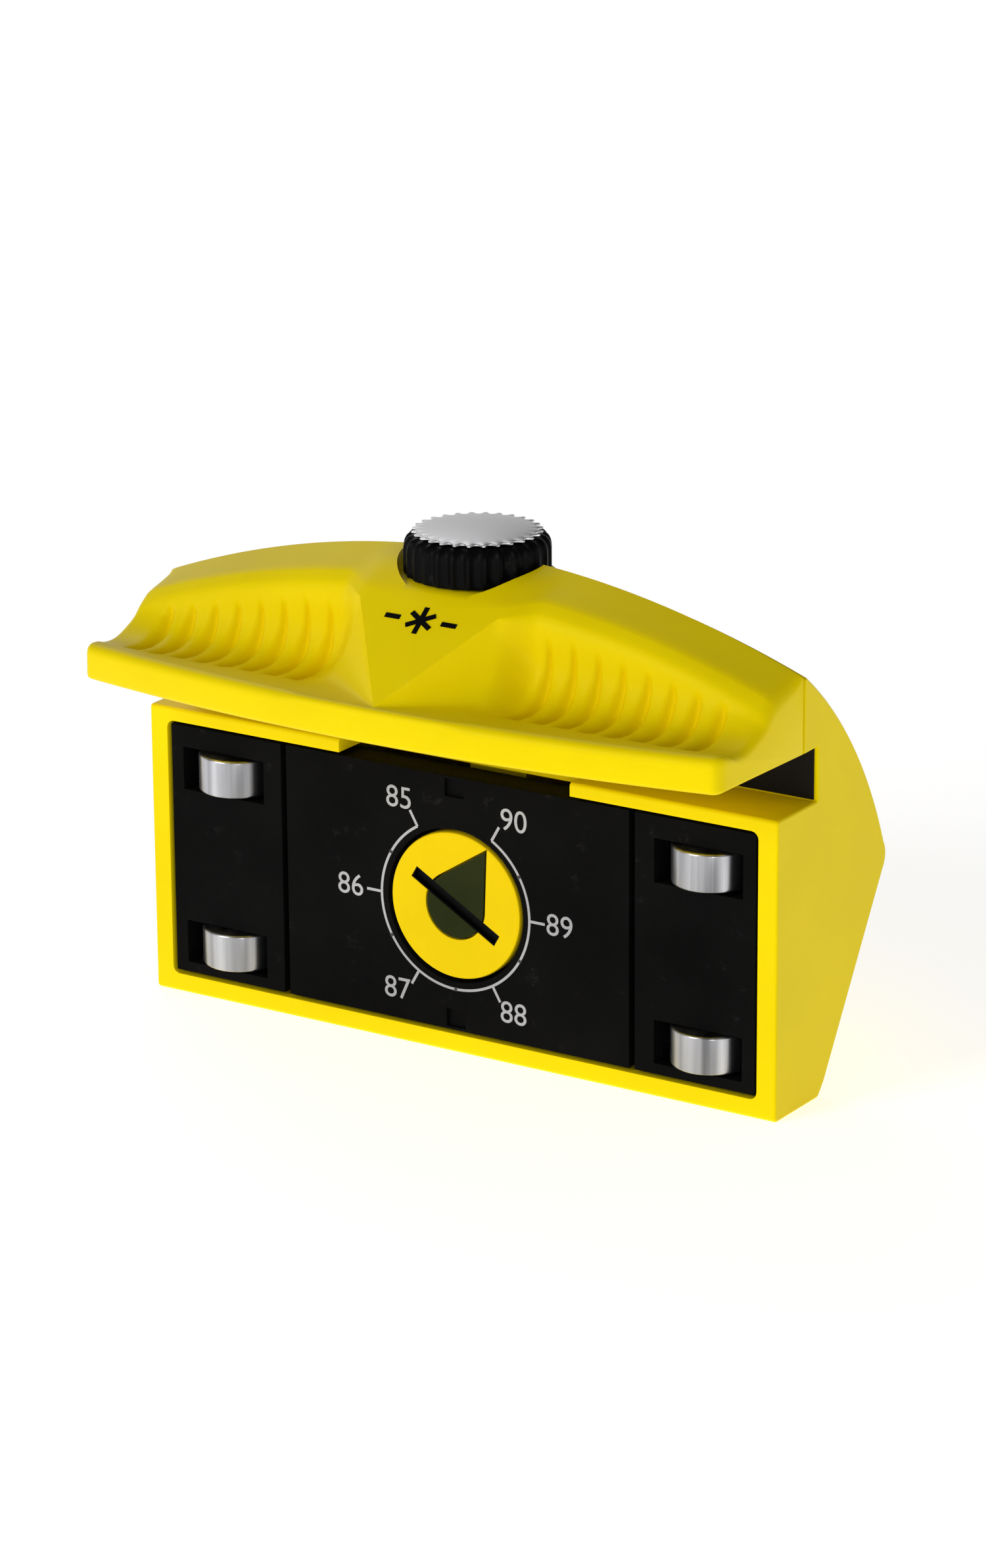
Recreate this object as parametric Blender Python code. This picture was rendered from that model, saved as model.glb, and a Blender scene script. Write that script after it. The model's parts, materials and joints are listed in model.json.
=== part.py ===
"""Side-edge file guide for skis and snowboards.

A moulded housing holds a tilting base plate with four steel rollers. A dial
turns a face cam that tips the plate by up to five degrees. A file lies in the
slot over the plate, and a captive knob drives a clamp shoe down onto it.

Metres, +Z up, +X along the file. Depth y is counted from the front face of the
housing's frame, +y to the back; the empty "tool_frame" puts the origin at the
middle of the object's underside.
"""
import math

import bmesh
import bpy
from mathutils import Matrix, Vector

MM = 0.001

# Housing
LENGTH = 111.4 * MM
BASE_DEPTH = 12.6 * MM
BASE_CHAMFER = 2.0 * MM
BACK_DEPTH = 32.1 * MM
NOSE_HEIGHT = 32.4 * MM
NOSE_RADIUS = 3.6 * MM
UPPER_BACK_BULGE = 2.9 * MM
RIDGE_HEIGHT = 76.9 * MM
RIDGE_RADIUS = 143.0 * MM
PARTING_DEPTH = 7.2 * MM
SHELL_WALL = 2.6 * MM
RIB_HALF_WIDTH = 5.0 * MM
HOLLOW_RISE = 2.0 * MM
HOLLOW_NOSE_INSET = 1.2 * MM
TURRET_DEPTH = 14.0 * MM
TURRET_FRONT_HALF = 20.0 * MM
TURRET_FRONT_REACH = 6.0 * MM

# Frame opening and file slot
SIDE_RIM = 3.2 * MM
BOTTOM_BAR = 3.0 * MM
TOP_BAR = 2.1 * MM
CAVITY_CLEARANCE = 2.2 * MM
SLOT_FLOOR = 46.2 * MM
SLOT_HEIGHT = 8.2 * MM
SLOT_DEPTH = 11.4 * MM
NOTCH_WIDTH = 41.0 * MM
NOTCH_DEPTH = 6.0 * MM

# Handle
WING_REACH = 22.0 * MM
WING_RADIUS = 284.0 * MM
WING_CORNER = 2.6 * MM
TROUGH_SETBACK = 3.0 * MM
WING_THICKNESS = 5.4 * MM
PROW_HALF_WIDTH = 12.1 * MM
PROW_FOOT_SETBACK = 1.5 * MM
PROW_RUN = 14.5 * MM
PROW_RISE = 11.5 * MM
SCOOP_START = 17.0 * MM
SCOOP_WALL_DEPTH = -3.9 * MM
SCOOP_WALL_LEAN = 0.9 * MM
LIP_DROP = 2.4 * MM
LIP_DEPTH = -0.4 * MM
END_LIP_DROP = 1.0 * MM
END_ROUND = 5.7 * MM
WING_EDGE_DROP = 0.4 * MM
WING_EDGE_RUN = 0.5 * MM
PROW_STEP = 0.6 * MM
PROW_CLIMB = ((0.3, 0.0), (0.55, 0.05), (0.72, 0.22), (0.86, 0.5), (0.95, 0.76))
PROW_TOP_RUN = 1.45
PROW_TOP_RISE = 1.3

# Knob and clamp
KNOB_RADIUS = 11.0 * MM
KNOB_STAND = 3.6 * MM
KNOB_HEIGHT = 7.0 * MM
HUB_LENGTH = 11.0 * MM
KNOB_FLUTES = 28
FLUTE_DEPTH = 0.6 * MM
KNOB_CAP_THICKNESS = 0.7 * MM
HUB_RADIUS = 5.0 * MM
HUB_BITE = 1.0 * MM
COLLAR_RADIUS = 6.4 * MM
COLLAR_HEIGHT = 2.0 * MM
WASHER_THICKNESS = 0.7 * MM
STUD_RADIUS = 2.2 * MM
FLANGE_WIDTH = 1.4 * MM
FLANGE_HEIGHT = 1.2 * MM
INSERT_WALL = 0.8 * MM
INSERT_LENGTH = 9.0 * MM
STUD_SHORTFALL = 1.5 * MM
SPIGOT_SHARE = 0.8
SHOE_LENGTH = 30.0 * MM
SHOE_DEPTH = 11.9 * MM
SHOE_THICKNESS = 2.4 * MM
PAD_THICKNESS = 0.9 * MM
GUIDE_SPACING = 18.0 * MM
GUIDE_DEPTH = 2.0 * MM
GUIDE_RADIUS = 1.2 * MM
GUIDE_LENGTH = 10.0 * MM

# Base plate
PLATE_GAP = 0.55 * MM
PLATE_RECESS = 0.3 * MM
PANEL_THICKNESS = 5.3 * MM
COVER_START = 31.5 * MM
COVER_GROOVE = 1.0 * MM
CARRIER_BEHIND_PIN = 3.4 * MM
CARRIER_STEP = 3.0 * MM
COVER_BOSS_SHORTFALL = 2.0 * MM
COVER_BOSS_BITE = 0.5 * MM
INDEX_WIDTH = 3.4 * MM
INDEX_HEIGHT = 3.2 * MM
INDEX_DEPTH = 0.6 * MM
INDEX_EDGE = 0.4 * MM

# Rollers
ROLLER_RADIUS = 6.0 * MM
ROLLER_LENGTH = 6.0 * MM
ROLLER_PROUD = 2.1 * MM
ROLLER_SPACING = 84.6 * MM
ROLLER_HEIGHTS = {"lower": 8.6 * MM, "upper": 36.7 * MM}
ROLLER_EDGE = 0.4 * MM
POCKET_SIDE_GAP = 1.5 * MM
POCKET_END_GAP = 0.4 * MM
PIN_RADIUS = 1.5 * MM
PIN_SEAT = 1.0 * MM

# Dial, cam and tilt
DIAL_HEIGHT = 23.3 * MM
DIAL_RADIUS = 11.5 * MM
DIAL_THICKNESS = 2.9 * MM
DIAL_RING_GAP = 0.6 * MM
DIAL_EDGE = 0.3 * MM
DIAL_REST_DEG = 30.0
DIAL_TURN_DEG = 300.0
POINTER_ROUND = 5.0 * MM
POINTER_TIP = 10.8 * MM
POINTER_THICKNESS = 1.6 * MM
COIN_SLOT_LENGTH = 17.0 * MM
COIN_SLOT_WIDTH = 2.0 * MM
COIN_SLOT_DEPTH = 1.0 * MM
SHAFT_RADIUS = 3.5 * MM
TONGUE_SIZE = 4.4 * MM
TONGUE_BITE = 1.0 * MM
CAM_RADIUS = 9.0 * MM
CAM_TRACK_INNER = 4.4 * MM
CAM_THICKNESS = 1.7 * MM
CAM_WEB_INSET = 0.6 * MM
CAM_WEB_STEP = 0.2 * MM
CAM_WEB_THICKNESS = CAM_THICKNESS - 0.5 * MM
CAM_DWELL_DEG = 15.0
CAM_CONTACT_RADIUS = 6.0 * MM
ANVIL_RADIUS = 1.5 * MM
ANVIL_SEAT = 3.0 * MM
HINGE_HEIGHT = 41.8 * MM
HINGE_PIN_RADIUS = 1.0 * MM
HINGE_PIN_LENGTH = 10.4 * MM
HINGE_PIN_BITE = 2.2 * MM
TILT_DEG = 5.0
SPRING_WIRE = 0.25 * MM
SPRING_RADIUS = 1.6 * MM
SPRING_TURNS = 4
SPRING_LENGTH = 2.4 * MM
SPRING_LEG = 4.0 * MM

# Screws
HANDLE_SCREWS_X = (22.0 * MM, 44.0 * MM)
HANDLE_SCREW_RISE = 6.1 * MM
HANDLE_SCREW_GRIP = 3.0 * MM
HANDLE_SCREW_LENGTH = 10.0 * MM
COVER_SCREW_SPREAD = 9.0 * MM
SCREW_RADIUS = 1.1 * MM
SCREW_HEAD_RADIUS = 2.2 * MM
SCREW_HEAD_HEIGHT = 1.5 * MM
SCREW_BOSS_RADIUS = 2.2 * MM
DRIVE_HALF_WIDTH = 0.35 * MM
DRIVE_REACH = 0.6
DRIVE_DEPTH = 0.8 * MM

# Clearances
GAP = 0.3 * MM
RUNNING_GAP = 0.15 * MM
OVERCUT = 2.0 * MM

# Values worked out from the sizes above
HALF_LENGTH = LENGTH / 2
OPENING_HALF = HALF_LENGTH - SIDE_RIM
OPENING_TOP = SLOT_FLOOR - TOP_BAR
SLOT_ROOF = SLOT_FLOOR + SLOT_HEIGHT
WING_TOP = SLOT_ROOF + WING_THICKNESS
REAR_FACE = PARTING_DEPTH + GAP / 2
HANDLE_FACE = PARTING_DEPTH - GAP / 2
NOSE_LOW = NOSE_HEIGHT - NOSE_RADIUS * 0.6
NOSE_TOP = NOSE_HEIGHT + NOSE_RADIUS * 0.6
NOSE_LOW_DEPTH = BACK_DEPTH - NOSE_RADIUS * 0.22
NOSE_TOP_DEPTH = BACK_DEPTH - NOSE_RADIUS * 0.17
NOSE_BULGE = NOSE_RADIUS * 0.2
BACK_START = BASE_DEPTH + BASE_CHAMFER * 0.85
RIDGE_END_HEIGHT = RIDGE_HEIGHT - HALF_LENGTH ** 2 / (2 * RIDGE_RADIUS)
KNOB_TOP = RIDGE_HEIGHT + KNOB_STAND
KNOB_BOTTOM = KNOB_TOP - KNOB_HEIGHT
COLLAR_BOTTOM = KNOB_BOTTOM - HUB_LENGTH
LANDING = KNOB_BOTTOM - GAP
LANDING_RADIUS = KNOB_RADIUS + 3 * GAP
PLATE_HALF = OPENING_HALF - PLATE_GAP
PLATE_BOTTOM = BOTTOM_BAR + PLATE_GAP
PLATE_TOP = OPENING_TOP - PLATE_GAP
PANEL_BACK = PLATE_RECESS + PANEL_THICKNESS
ROLLER_DEPTH = PLATE_RECESS - ROLLER_PROUD + ROLLER_RADIUS
CAVITY_DEPTH = ROLLER_DEPTH + ROLLER_RADIUS + CAVITY_CLEARANCE
COVER_BACK = ROLLER_DEPTH - PIN_RADIUS - GAP
CARRIER_FRONT = COVER_BACK + GAP
CARRIER_BACK = ROLLER_DEPTH + CARRIER_BEHIND_PIN
HINGE_DEPTH = COVER_BACK + GAP + SPRING_RADIUS + SPRING_WIRE
POCKET_WIDTH = 2 * (ROLLER_RADIUS + POCKET_SIDE_GAP)
POCKET_HEIGHT = ROLLER_LENGTH + 2 * POCKET_END_GAP
DIAL_BACK = PLATE_RECESS + DIAL_THICKNESS
CAM_FRONT = PANEL_BACK + GAP
CAM_BACK = CAM_FRONT + CAM_THICKNESS
CAM_RISE = (HINGE_HEIGHT - DIAL_HEIGHT + CAM_CONTACT_RADIUS) * math.tan(math.radians(TILT_DEG))
ANVIL_FACE = CAM_BACK + GAP
KNOB_AXIS = Vector((0, PARTING_DEPTH, 0))
SHOE_BACK = SLOT_DEPTH - 2 * GAP
PAD_BOTTOM = SLOT_ROOF + GAP
SHOE_BOTTOM = PAD_BOTTOM + PAD_THICKNESS + GAP
SHOE_TOP = SHOE_BOTTOM + SHOE_THICKNESS
FLANGE_BOTTOM = SHOE_TOP + GAP
FLANGE_RADIUS = STUD_RADIUS + FLANGE_WIDTH
INSERT_RADIUS = STUD_RADIUS + GAP + INSERT_WALL
INSERT_BOTTOM = KNOB_BOTTOM - INSERT_LENGTH / 2
COLLAR_TOP = COLLAR_BOTTOM + COLLAR_HEIGHT
CHAMBER_TOP = COLLAR_TOP + WASHER_THICKNESS + 2 * GAP
CAM_SCREW_HEAD = CAM_TRACK_INNER - 2 * GAP
HANDLE_SCREW_HEIGHT = SLOT_ROOF + HANDLE_SCREW_RISE


def clear_scene():
    for existing in list(bpy.data.objects):
        bpy.data.objects.remove(existing, do_unlink=True)


def finish(name, colour, roughness, metallic=0.0):
    """A Principled material for one kind of piece."""
    made = bpy.data.materials.new(name)
    made.use_nodes = True
    shader = made.node_tree.nodes["Principled BSDF"]
    shader.inputs["Base Color"].default_value = (*colour, 1.0)
    shader.inputs["Roughness"].default_value = roughness
    shader.inputs["Metallic"].default_value = metallic
    return made


def add_empty(name, place, parent=None):
    empty = bpy.data.objects.new(name, None)
    bpy.context.scene.collection.objects.link(empty)
    empty.parent = parent
    empty.location = place
    return empty


def add_part(name, bm, material, origin=(0, 0, 0), parent=None):
    """Turn a bmesh drawn in the tool frame into an object whose origin is at the given place.

    The parent is the tool frame or another part, whose own origin the place is counted from.
    """
    origin = Vector(origin)
    parent = parent or FRAME
    bmesh.ops.translate(bm, verts=bm.verts, vec=-origin)
    bmesh.ops.recalc_face_normals(bm, faces=bm.faces)
    mesh = bpy.data.meshes.new(name)
    bm.to_mesh(mesh)
    bm.free()
    mesh.materials.append(material)
    mesh.shade_smooth()
    mesh.set_sharp_from_angle(angle=math.radians(32))
    part = bpy.data.objects.new(name, mesh)
    bpy.context.scene.collection.objects.link(part)
    part.parent = parent
    part.location = origin
    if parent is not FRAME:
        part.location -= parent.location
    return part


def cutter(name, bm):
    """A hidden shape that only serves a Boolean."""
    tool = add_part(name, bm, YELLOW)
    tool.display_type = 'WIRE'
    tool.hide_render = True
    return tool


def combine(part, tool, operation):
    modifier = part.modifiers.new(tool.name, 'BOOLEAN')
    modifier.operation = operation
    modifier.solver = 'EXACT'
    modifier.object = tool


def cut(part, name, bm):
    combine(part, cutter(name, bm), 'DIFFERENCE')


def join(part, name, bm):
    combine(part, cutter(name, bm), 'UNION')


def box(low, high, bm=None):
    """A box between two corners, in a new bmesh or added to the one given."""
    bm = bm or bmesh.new()
    low = Vector(low)
    high = Vector(high)
    size = high - low
    place = Matrix.Translation((low + high) / 2) @ Matrix.Diagonal((*size, 1))
    bmesh.ops.create_cube(bm, size=1.0, matrix=place)
    return bm


AXIS_TURNS = {
    'X': Matrix.Rotation(math.pi / 2, 4, 'Y'),
    'Y': Matrix.Rotation(-math.pi / 2, 4, 'X'),
    'Z': Matrix.Identity(4),
}


def rod(start, length, radius, axis, segments=24, bm=None):
    """A round bar from a start point along +axis."""
    bm = bm or bmesh.new()
    turn = AXIS_TURNS[axis]
    place = Matrix.Translation(start) @ turn @ Matrix.Translation((0, 0, length / 2))
    bmesh.ops.create_cone(bm, cap_ends=True, segments=segments, radius1=radius,
                          radius2=radius, depth=length, matrix=place)
    return bm


def turned(profile, place, axis, segments=32):
    """A solid of revolution from (radius, height) points round a local axis."""
    bm = bmesh.new()
    points = [bm.verts.new((radius, 0, height)) for radius, height in profile]
    edges = [bm.edges.new(pair) for pair in zip(points, points[1:])]
    if profile[0][0] > 0:
        edges.append(bm.edges.new((points[-1], points[0])))
    bmesh.ops.spin(bm, geom=points + edges, cent=(0, 0, 0), axis=(0, 0, 1),
                   angle=math.tau, steps=segments, use_merge=True)
    bmesh.ops.remove_doubles(bm, verts=bm.verts, dist=0.001 * MM)
    bmesh.ops.transform(bm, verts=bm.verts, matrix=Matrix.Translation(place) @ AXIS_TURNS[axis])
    return bm


def prism(outline, axis, start, end):
    """An outline of two coordinates, swept along the third from start to end."""
    bm = bmesh.new()
    order = {'X': (2, 0, 1), 'Y': (0, 2, 1), 'Z': (0, 1, 2)}[axis]
    corners = []
    for point in outline:
        values = (*point, start)
        corners.append(bm.verts.new([values[order[index]] for index in range(3)]))
    face = bm.faces.new(corners)
    swept = bmesh.ops.extrude_face_region(bm, geom=[face])
    moved = [item for item in swept["geom"] if isinstance(item, bmesh.types.BMVert)]
    shift = Vector([end - start if item == axis else 0 for item in 'XYZ'])
    bmesh.ops.translate(bm, verts=moved, vec=shift)
    return bm


def loft(sections):
    """Skin (x, outline) sections whose outlines are (y, z) points in the same order."""
    bm = bmesh.new()
    rings = []
    for x, outline in sections:
        corners = [bm.verts.new((x, y, z)) for y, z in outline]
        rings.append([bm.edges.new(pair) for pair in zip(corners, corners[1:] + corners[:1])])
        if len(rings) in (1, len(sections)):
            bm.faces.new(corners)
    for first, second in zip(rings, rings[1:]):
        bmesh.ops.bridge_loops(bm, edges=first + second)
    bmesh.ops.triangulate(bm, faces=bm.faces)
    return bm


def arc_points(start, end, bulge, count):
    """Points on the circular arc between two points whose middle stands out by bulge."""
    start = Vector(start)
    end = Vector(end)
    chord = end - start
    half = chord.length / 2
    radius = (half ** 2 + bulge ** 2) / (2 * bulge)
    across = Vector((chord.y, -chord.x)).normalized()
    centre = (start + end) / 2 - across * (radius - bulge)
    spread = math.asin(half / radius)
    along = chord.normalized()
    angles = [spread * (2 * index / (count - 1) - 1) for index in range(count)]
    return [tuple(centre + radius * (math.cos(a) * across + math.sin(a) * along)) for a in angles]


def ridge(x):
    return RIDGE_HEIGHT - x ** 2 / (2 * RIDGE_RADIUS)


def back_line(height):
    """Depth of the slanted lower back at a height."""
    share = (height - BASE_CHAMFER) / (NOSE_LOW - BASE_CHAMFER)
    return BACK_START + share * (NOSE_LOW_DEPTH - BACK_START)


def housing_outline(x):
    """End view of the housing at one place along it; the slot is part of the outline."""
    nose = arc_points((NOSE_LOW_DEPTH, NOSE_LOW), (NOSE_TOP_DEPTH, NOSE_TOP), NOSE_BULGE, 5)
    upper = arc_points(nose[-1], (REAR_FACE, RIDGE_END_HEIGHT), UPPER_BACK_BULGE, 11)
    stretch = (ridge(x) - NOSE_TOP) / (RIDGE_END_HEIGHT - NOSE_TOP)
    raised = [(y, NOSE_TOP + (z - NOSE_TOP) * stretch) for y, z in upper[1:]]
    base = [(0, 0), (BASE_DEPTH, 0), (back_line(BASE_CHAMFER), BASE_CHAMFER)]
    slot = [(REAR_FACE, SLOT_ROOF), (SLOT_DEPTH, SLOT_ROOF), (SLOT_DEPTH, SLOT_FLOOR),
            (0, SLOT_FLOOR)]
    return base + nose + raised + slot


def wing_edge(x):
    """Depth of the wing's front edge, with its rounded corner."""
    past = max(0.0, abs(x) - (HALF_LENGTH - WING_CORNER))
    corner = WING_CORNER - math.sqrt(max(0.0, WING_CORNER ** 2 - past ** 2))
    return -WING_REACH + x ** 2 / (2 * WING_RADIUS) + corner


def mix(first, second, share):
    return tuple(a + (b - a) * share for a, b in zip(first, second))


def scoop_outline(x):
    """Upper side of the handle beside the prow, from the wing's lip to the ridge."""
    size = abs(x)
    past = max(0.0, (size - HALF_LENGTH + END_ROUND) / END_ROUND)
    lip = ridge(size) - LIP_DROP * (1.2 - 0.4 * size / HALF_LENGTH) - END_LIP_DROP * past ** 2
    return [(wing_edge(x) + TROUGH_SETBACK, WING_TOP - 0.4 * MM), (-9.5 * MM, WING_TOP - 0.7 * MM),
            (-6.0 * MM, WING_TOP + 0.4 * MM), (SCOOP_WALL_DEPTH, WING_TOP + 3.2 * MM),
            (SCOOP_WALL_DEPTH + SCOOP_WALL_LEAN, lip - 2.0 * MM), (LIP_DEPTH, lip),
            mix((LIP_DEPTH, lip), (HANDLE_FACE, ridge(size)), 0.5)]


def prow_outline(x):
    """The same stretch at the prow, whose creases run from its foot to the scoops."""
    share = abs(x) / PROW_HALF_WIDTH
    foot = (-WING_REACH + PROW_FOOT_SETBACK, WING_TOP)
    crease = (foot[0] + PROW_RUN * share, foot[1] + PROW_RISE * share)
    start = (foot[0] - PROW_STEP, WING_TOP)
    side = []
    for run, rise in PROW_CLIMB:
        side.append((start[0] + (crease[0] - start[0]) * run,
                     start[1] + 0.02 * MM * run + (crease[1] - start[1]) * rise))
    top = (foot[0] + PROW_RUN * PROW_TOP_RUN, foot[1] + PROW_RISE * PROW_TOP_RISE)
    return side + [crease, top]


def handle_outline(x):
    """End view of the handle shell at one place along it."""
    size = abs(x)
    edge = wing_edge(x)
    if size <= PROW_HALF_WIDTH:
        middle = prow_outline(x)
    elif size >= SCOOP_START:
        middle = scoop_outline(x)
    else:
        share = (size - PROW_HALF_WIDTH) / (SCOOP_START - PROW_HALF_WIDTH)
        pairs = zip(prow_outline(PROW_HALF_WIDTH), scoop_outline(SCOOP_START))
        middle = [mix(first, second, share) for first, second in pairs]
    front = [(edge, SLOT_ROOF), (edge, WING_TOP - WING_EDGE_DROP), (edge + WING_EDGE_RUN, WING_TOP)]
    return [(HANDLE_FACE, SLOT_ROOF)] + front + middle + [(HANDLE_FACE, ridge(x))]


def both_sides(values):
    return [-value for value in reversed(values) if value > 0] + list(values)


def add_screw(name, place, length, axis_sign, parent=None):
    """A pan-head screw along Y: place is the underside of its head, the shank runs along axis_sign."""
    shank_start = place[1] if axis_sign > 0 else place[1] - length
    head_start = place[1] - SCREW_HEAD_HEIGHT if axis_sign > 0 else place[1]
    bm = rod((place[0], shank_start, place[2]), length, SCREW_RADIUS, 'Y', 12)
    part = add_part(name, bm, STEEL, parent=parent)
    join(part, name + "_head", rod((place[0], head_start, place[2]), SCREW_HEAD_HEIGHT,
                                   SCREW_HEAD_RADIUS, 'Y', 16))
    reach = SCREW_HEAD_RADIUS * DRIVE_REACH
    face = place[1] - axis_sign * SCREW_HEAD_HEIGHT
    for index, (wide, tall) in enumerate(((reach, DRIVE_HALF_WIDTH), (DRIVE_HALF_WIDTH, reach))):
        cut(part, name + "_drive_" + str(index),
            box((place[0] - wide, face - DRIVE_DEPTH, place[2] - tall),
                (place[0] + wide, face + DRIVE_DEPTH, place[2] + tall)))
    return part


# --- Housing -----------------------------------------------------------------

def build_housing():
    stations = [index * HALF_LENGTH / 7 for index in range(8)]
    sections = [(x, housing_outline(x)) for x in both_sides(stations)]
    body = add_part("rear_body", loft(sections), YELLOW)
    join(body, "knob_turret", rod((0, PARTING_DEPTH, LANDING - TURRET_DEPTH), TURRET_DEPTH,
                                  LANDING_RADIUS, 'Z', 40))
    cut(body, "turret_front", box((-TURRET_FRONT_HALF, -TURRET_FRONT_REACH, SLOT_ROOF + OVERCUT),
                                  (TURRET_FRONT_HALF, REAR_FACE, RIDGE_HEIGHT + OVERCUT)))
    cut(body, "frame_cavity", box((-OPENING_HALF, -OVERCUT, BOTTOM_BAR),
                                  (OPENING_HALF, CAVITY_DEPTH, OPENING_TOP)))
    cut(body, "file_notch", box((-NOTCH_WIDTH / 2, -OVERCUT, OPENING_TOP - OVERCUT),
                                (NOTCH_WIDTH / 2, NOTCH_DEPTH, SLOT_FLOOR + OVERCUT)))
    inset = SHELL_WALL * 1.18
    floor = BOTTOM_BAR + HOLLOW_RISE
    hollow = [(CAVITY_DEPTH - GAP, floor), (CAVITY_DEPTH + 1 * MM, floor),
              (back_line(NOSE_HEIGHT) - inset - HOLLOW_NOSE_INSET, NOSE_HEIGHT - HOLLOW_RISE),
              (BACK_DEPTH - 1.8 * SHELL_WALL, NOSE_HEIGHT + HOLLOW_RISE),
              (BACK_DEPTH - 3.6 * SHELL_WALL, OPENING_TOP),
              (CAVITY_DEPTH - GAP, OPENING_TOP)]
    for side, sign in (("left", -1), ("right", 1)):
        ends = sorted((sign * RIB_HALF_WIDTH, sign * (OPENING_HALF - SHELL_WALL)))
        cut(body, "hollow_" + side, prism(hollow, 'X', *ends))
        start = OPENING_HALF - OVERCUT
        length = OVERCUT + HINGE_PIN_BITE + GAP
        hole_start = start if sign > 0 else -start - length
        cut(body, "hinge_hole_" + side, rod((hole_start, HINGE_DEPTH, HINGE_HEIGHT), length,
                                            HINGE_PIN_RADIUS + RUNNING_GAP, 'X', 16))
    cut(body, "anvil_hole", rod((0, CAVITY_DEPTH - OVERCUT, DIAL_HEIGHT - CAM_CONTACT_RADIUS),
                                OVERCUT + ANVIL_SEAT + GAP, ANVIL_RADIUS + GAP, 'Y', 20))
    cut_clamp_space(body, "rear")
    for x in both_sides(HANDLE_SCREWS_X):
        name = "screw_hole_" + str(round(x / MM))
        cut(body, name, rod((x, REAR_FACE - OVERCUT, HANDLE_SCREW_HEIGHT),
                            HANDLE_SCREW_GRIP + 2 * OVERCUT, SCREW_RADIUS + GAP, 'Y', 16))
        cut(body, name + "_head", rod((x, REAR_FACE + HANDLE_SCREW_GRIP, HANDLE_SCREW_HEIGHT),
                                      BACK_DEPTH, SCREW_HEAD_RADIUS + GAP, 'Y', 20))
    return body


def cut_clamp_space(shell, label):
    """The room for shoe, stud, collar and knob that the two shells share."""
    shoe_side = SHOE_LENGTH / 2 + GAP
    cut(shell, label + "_shoe_room",
        box((-shoe_side, SHOE_BACK - SHOE_DEPTH - GAP, SLOT_ROOF - OVERCUT),
            (shoe_side, SHOE_BACK + GAP, SHOE_TOP + GAP)))
    x, y = KNOB_AXIS.x, KNOB_AXIS.y
    steps = [(SHOE_TOP, FLANGE_BOTTOM + FLANGE_HEIGHT + GAP, FLANGE_RADIUS + GAP),
             (FLANGE_BOTTOM, COLLAR_BOTTOM, STUD_RADIUS + 2 * GAP),
             (COLLAR_BOTTOM - GAP, CHAMBER_TOP, COLLAR_RADIUS + GAP),
             (COLLAR_TOP, LANDING + OVERCUT, HUB_RADIUS + GAP),
             (LANDING, KNOB_TOP, LANDING_RADIUS)]
    for index, (low, high, radius) in enumerate(steps):
        cut(shell, label + "_bore_" + str(index), rod((x, y, low), high - low, radius, 'Z', 40))


def build_handle():
    scoop_end = HALF_LENGTH - END_ROUND
    stations = [PROW_HALF_WIDTH * index / 3 for index in range(4)]
    stations.append((PROW_HALF_WIDTH + SCOOP_START) / 2)
    stations += [SCOOP_START + (scoop_end - SCOOP_START) * index / 4 for index in range(5)]
    stations += [HALF_LENGTH - END_ROUND * share for share in (0.5, 0.35, 0.15, 0)]
    sections = [(x, handle_outline(x)) for x in both_sides(stations)]
    handle = add_part("front_handle", loft(sections), YELLOW)
    cut_clamp_space(handle, "front")
    guide_top = SHOE_BOTTOM + GUIDE_LENGTH + GAP
    for side, x in (("left", -GUIDE_SPACING / 2), ("right", GUIDE_SPACING / 2)):
        cut(handle, "guide_hole_" + side,
            rod((x, GUIDE_DEPTH, SHOE_TOP - GAP), guide_top - SHOE_TOP + GAP,
                GUIDE_RADIUS + RUNNING_GAP, 'Z', 16))
    tip = REAR_FACE + HANDLE_SCREW_GRIP - HANDLE_SCREW_LENGTH
    for x in both_sides(HANDLE_SCREWS_X):
        cut(handle, "screw_pilot_" + str(round(x / MM)),
            rod((x, tip - GAP, HANDLE_SCREW_HEIGHT), HANDLE_FACE - tip + OVERCUT,
                SCREW_RADIUS + GAP, 'Y', 16))
        place = (x, REAR_FACE + HANDLE_SCREW_GRIP + GAP, HANDLE_SCREW_HEIGHT)
        side = "left" if x < 0 else "right"
        row = "inner" if abs(x) == HANDLE_SCREWS_X[0] else "outer"
        add_screw("handle_screw_" + row + "_" + side, place, HANDLE_SCREW_LENGTH, -1)
    return handle


# --- Clamp -------------------------------------------------------------------

def fluted_outline(radius):
    """A round outline with shallow flutes, one low point and one high point a flute."""
    count = 2 * KNOB_FLUTES
    outline = []
    for index in range(count):
        angle = math.tau * index / count
        reach = radius - (FLUTE_DEPTH if index % 2 else 0)
        outline.append((KNOB_AXIS.x + reach * math.cos(angle),
                        KNOB_AXIS.y + reach * math.sin(angle)))
    return outline


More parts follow.
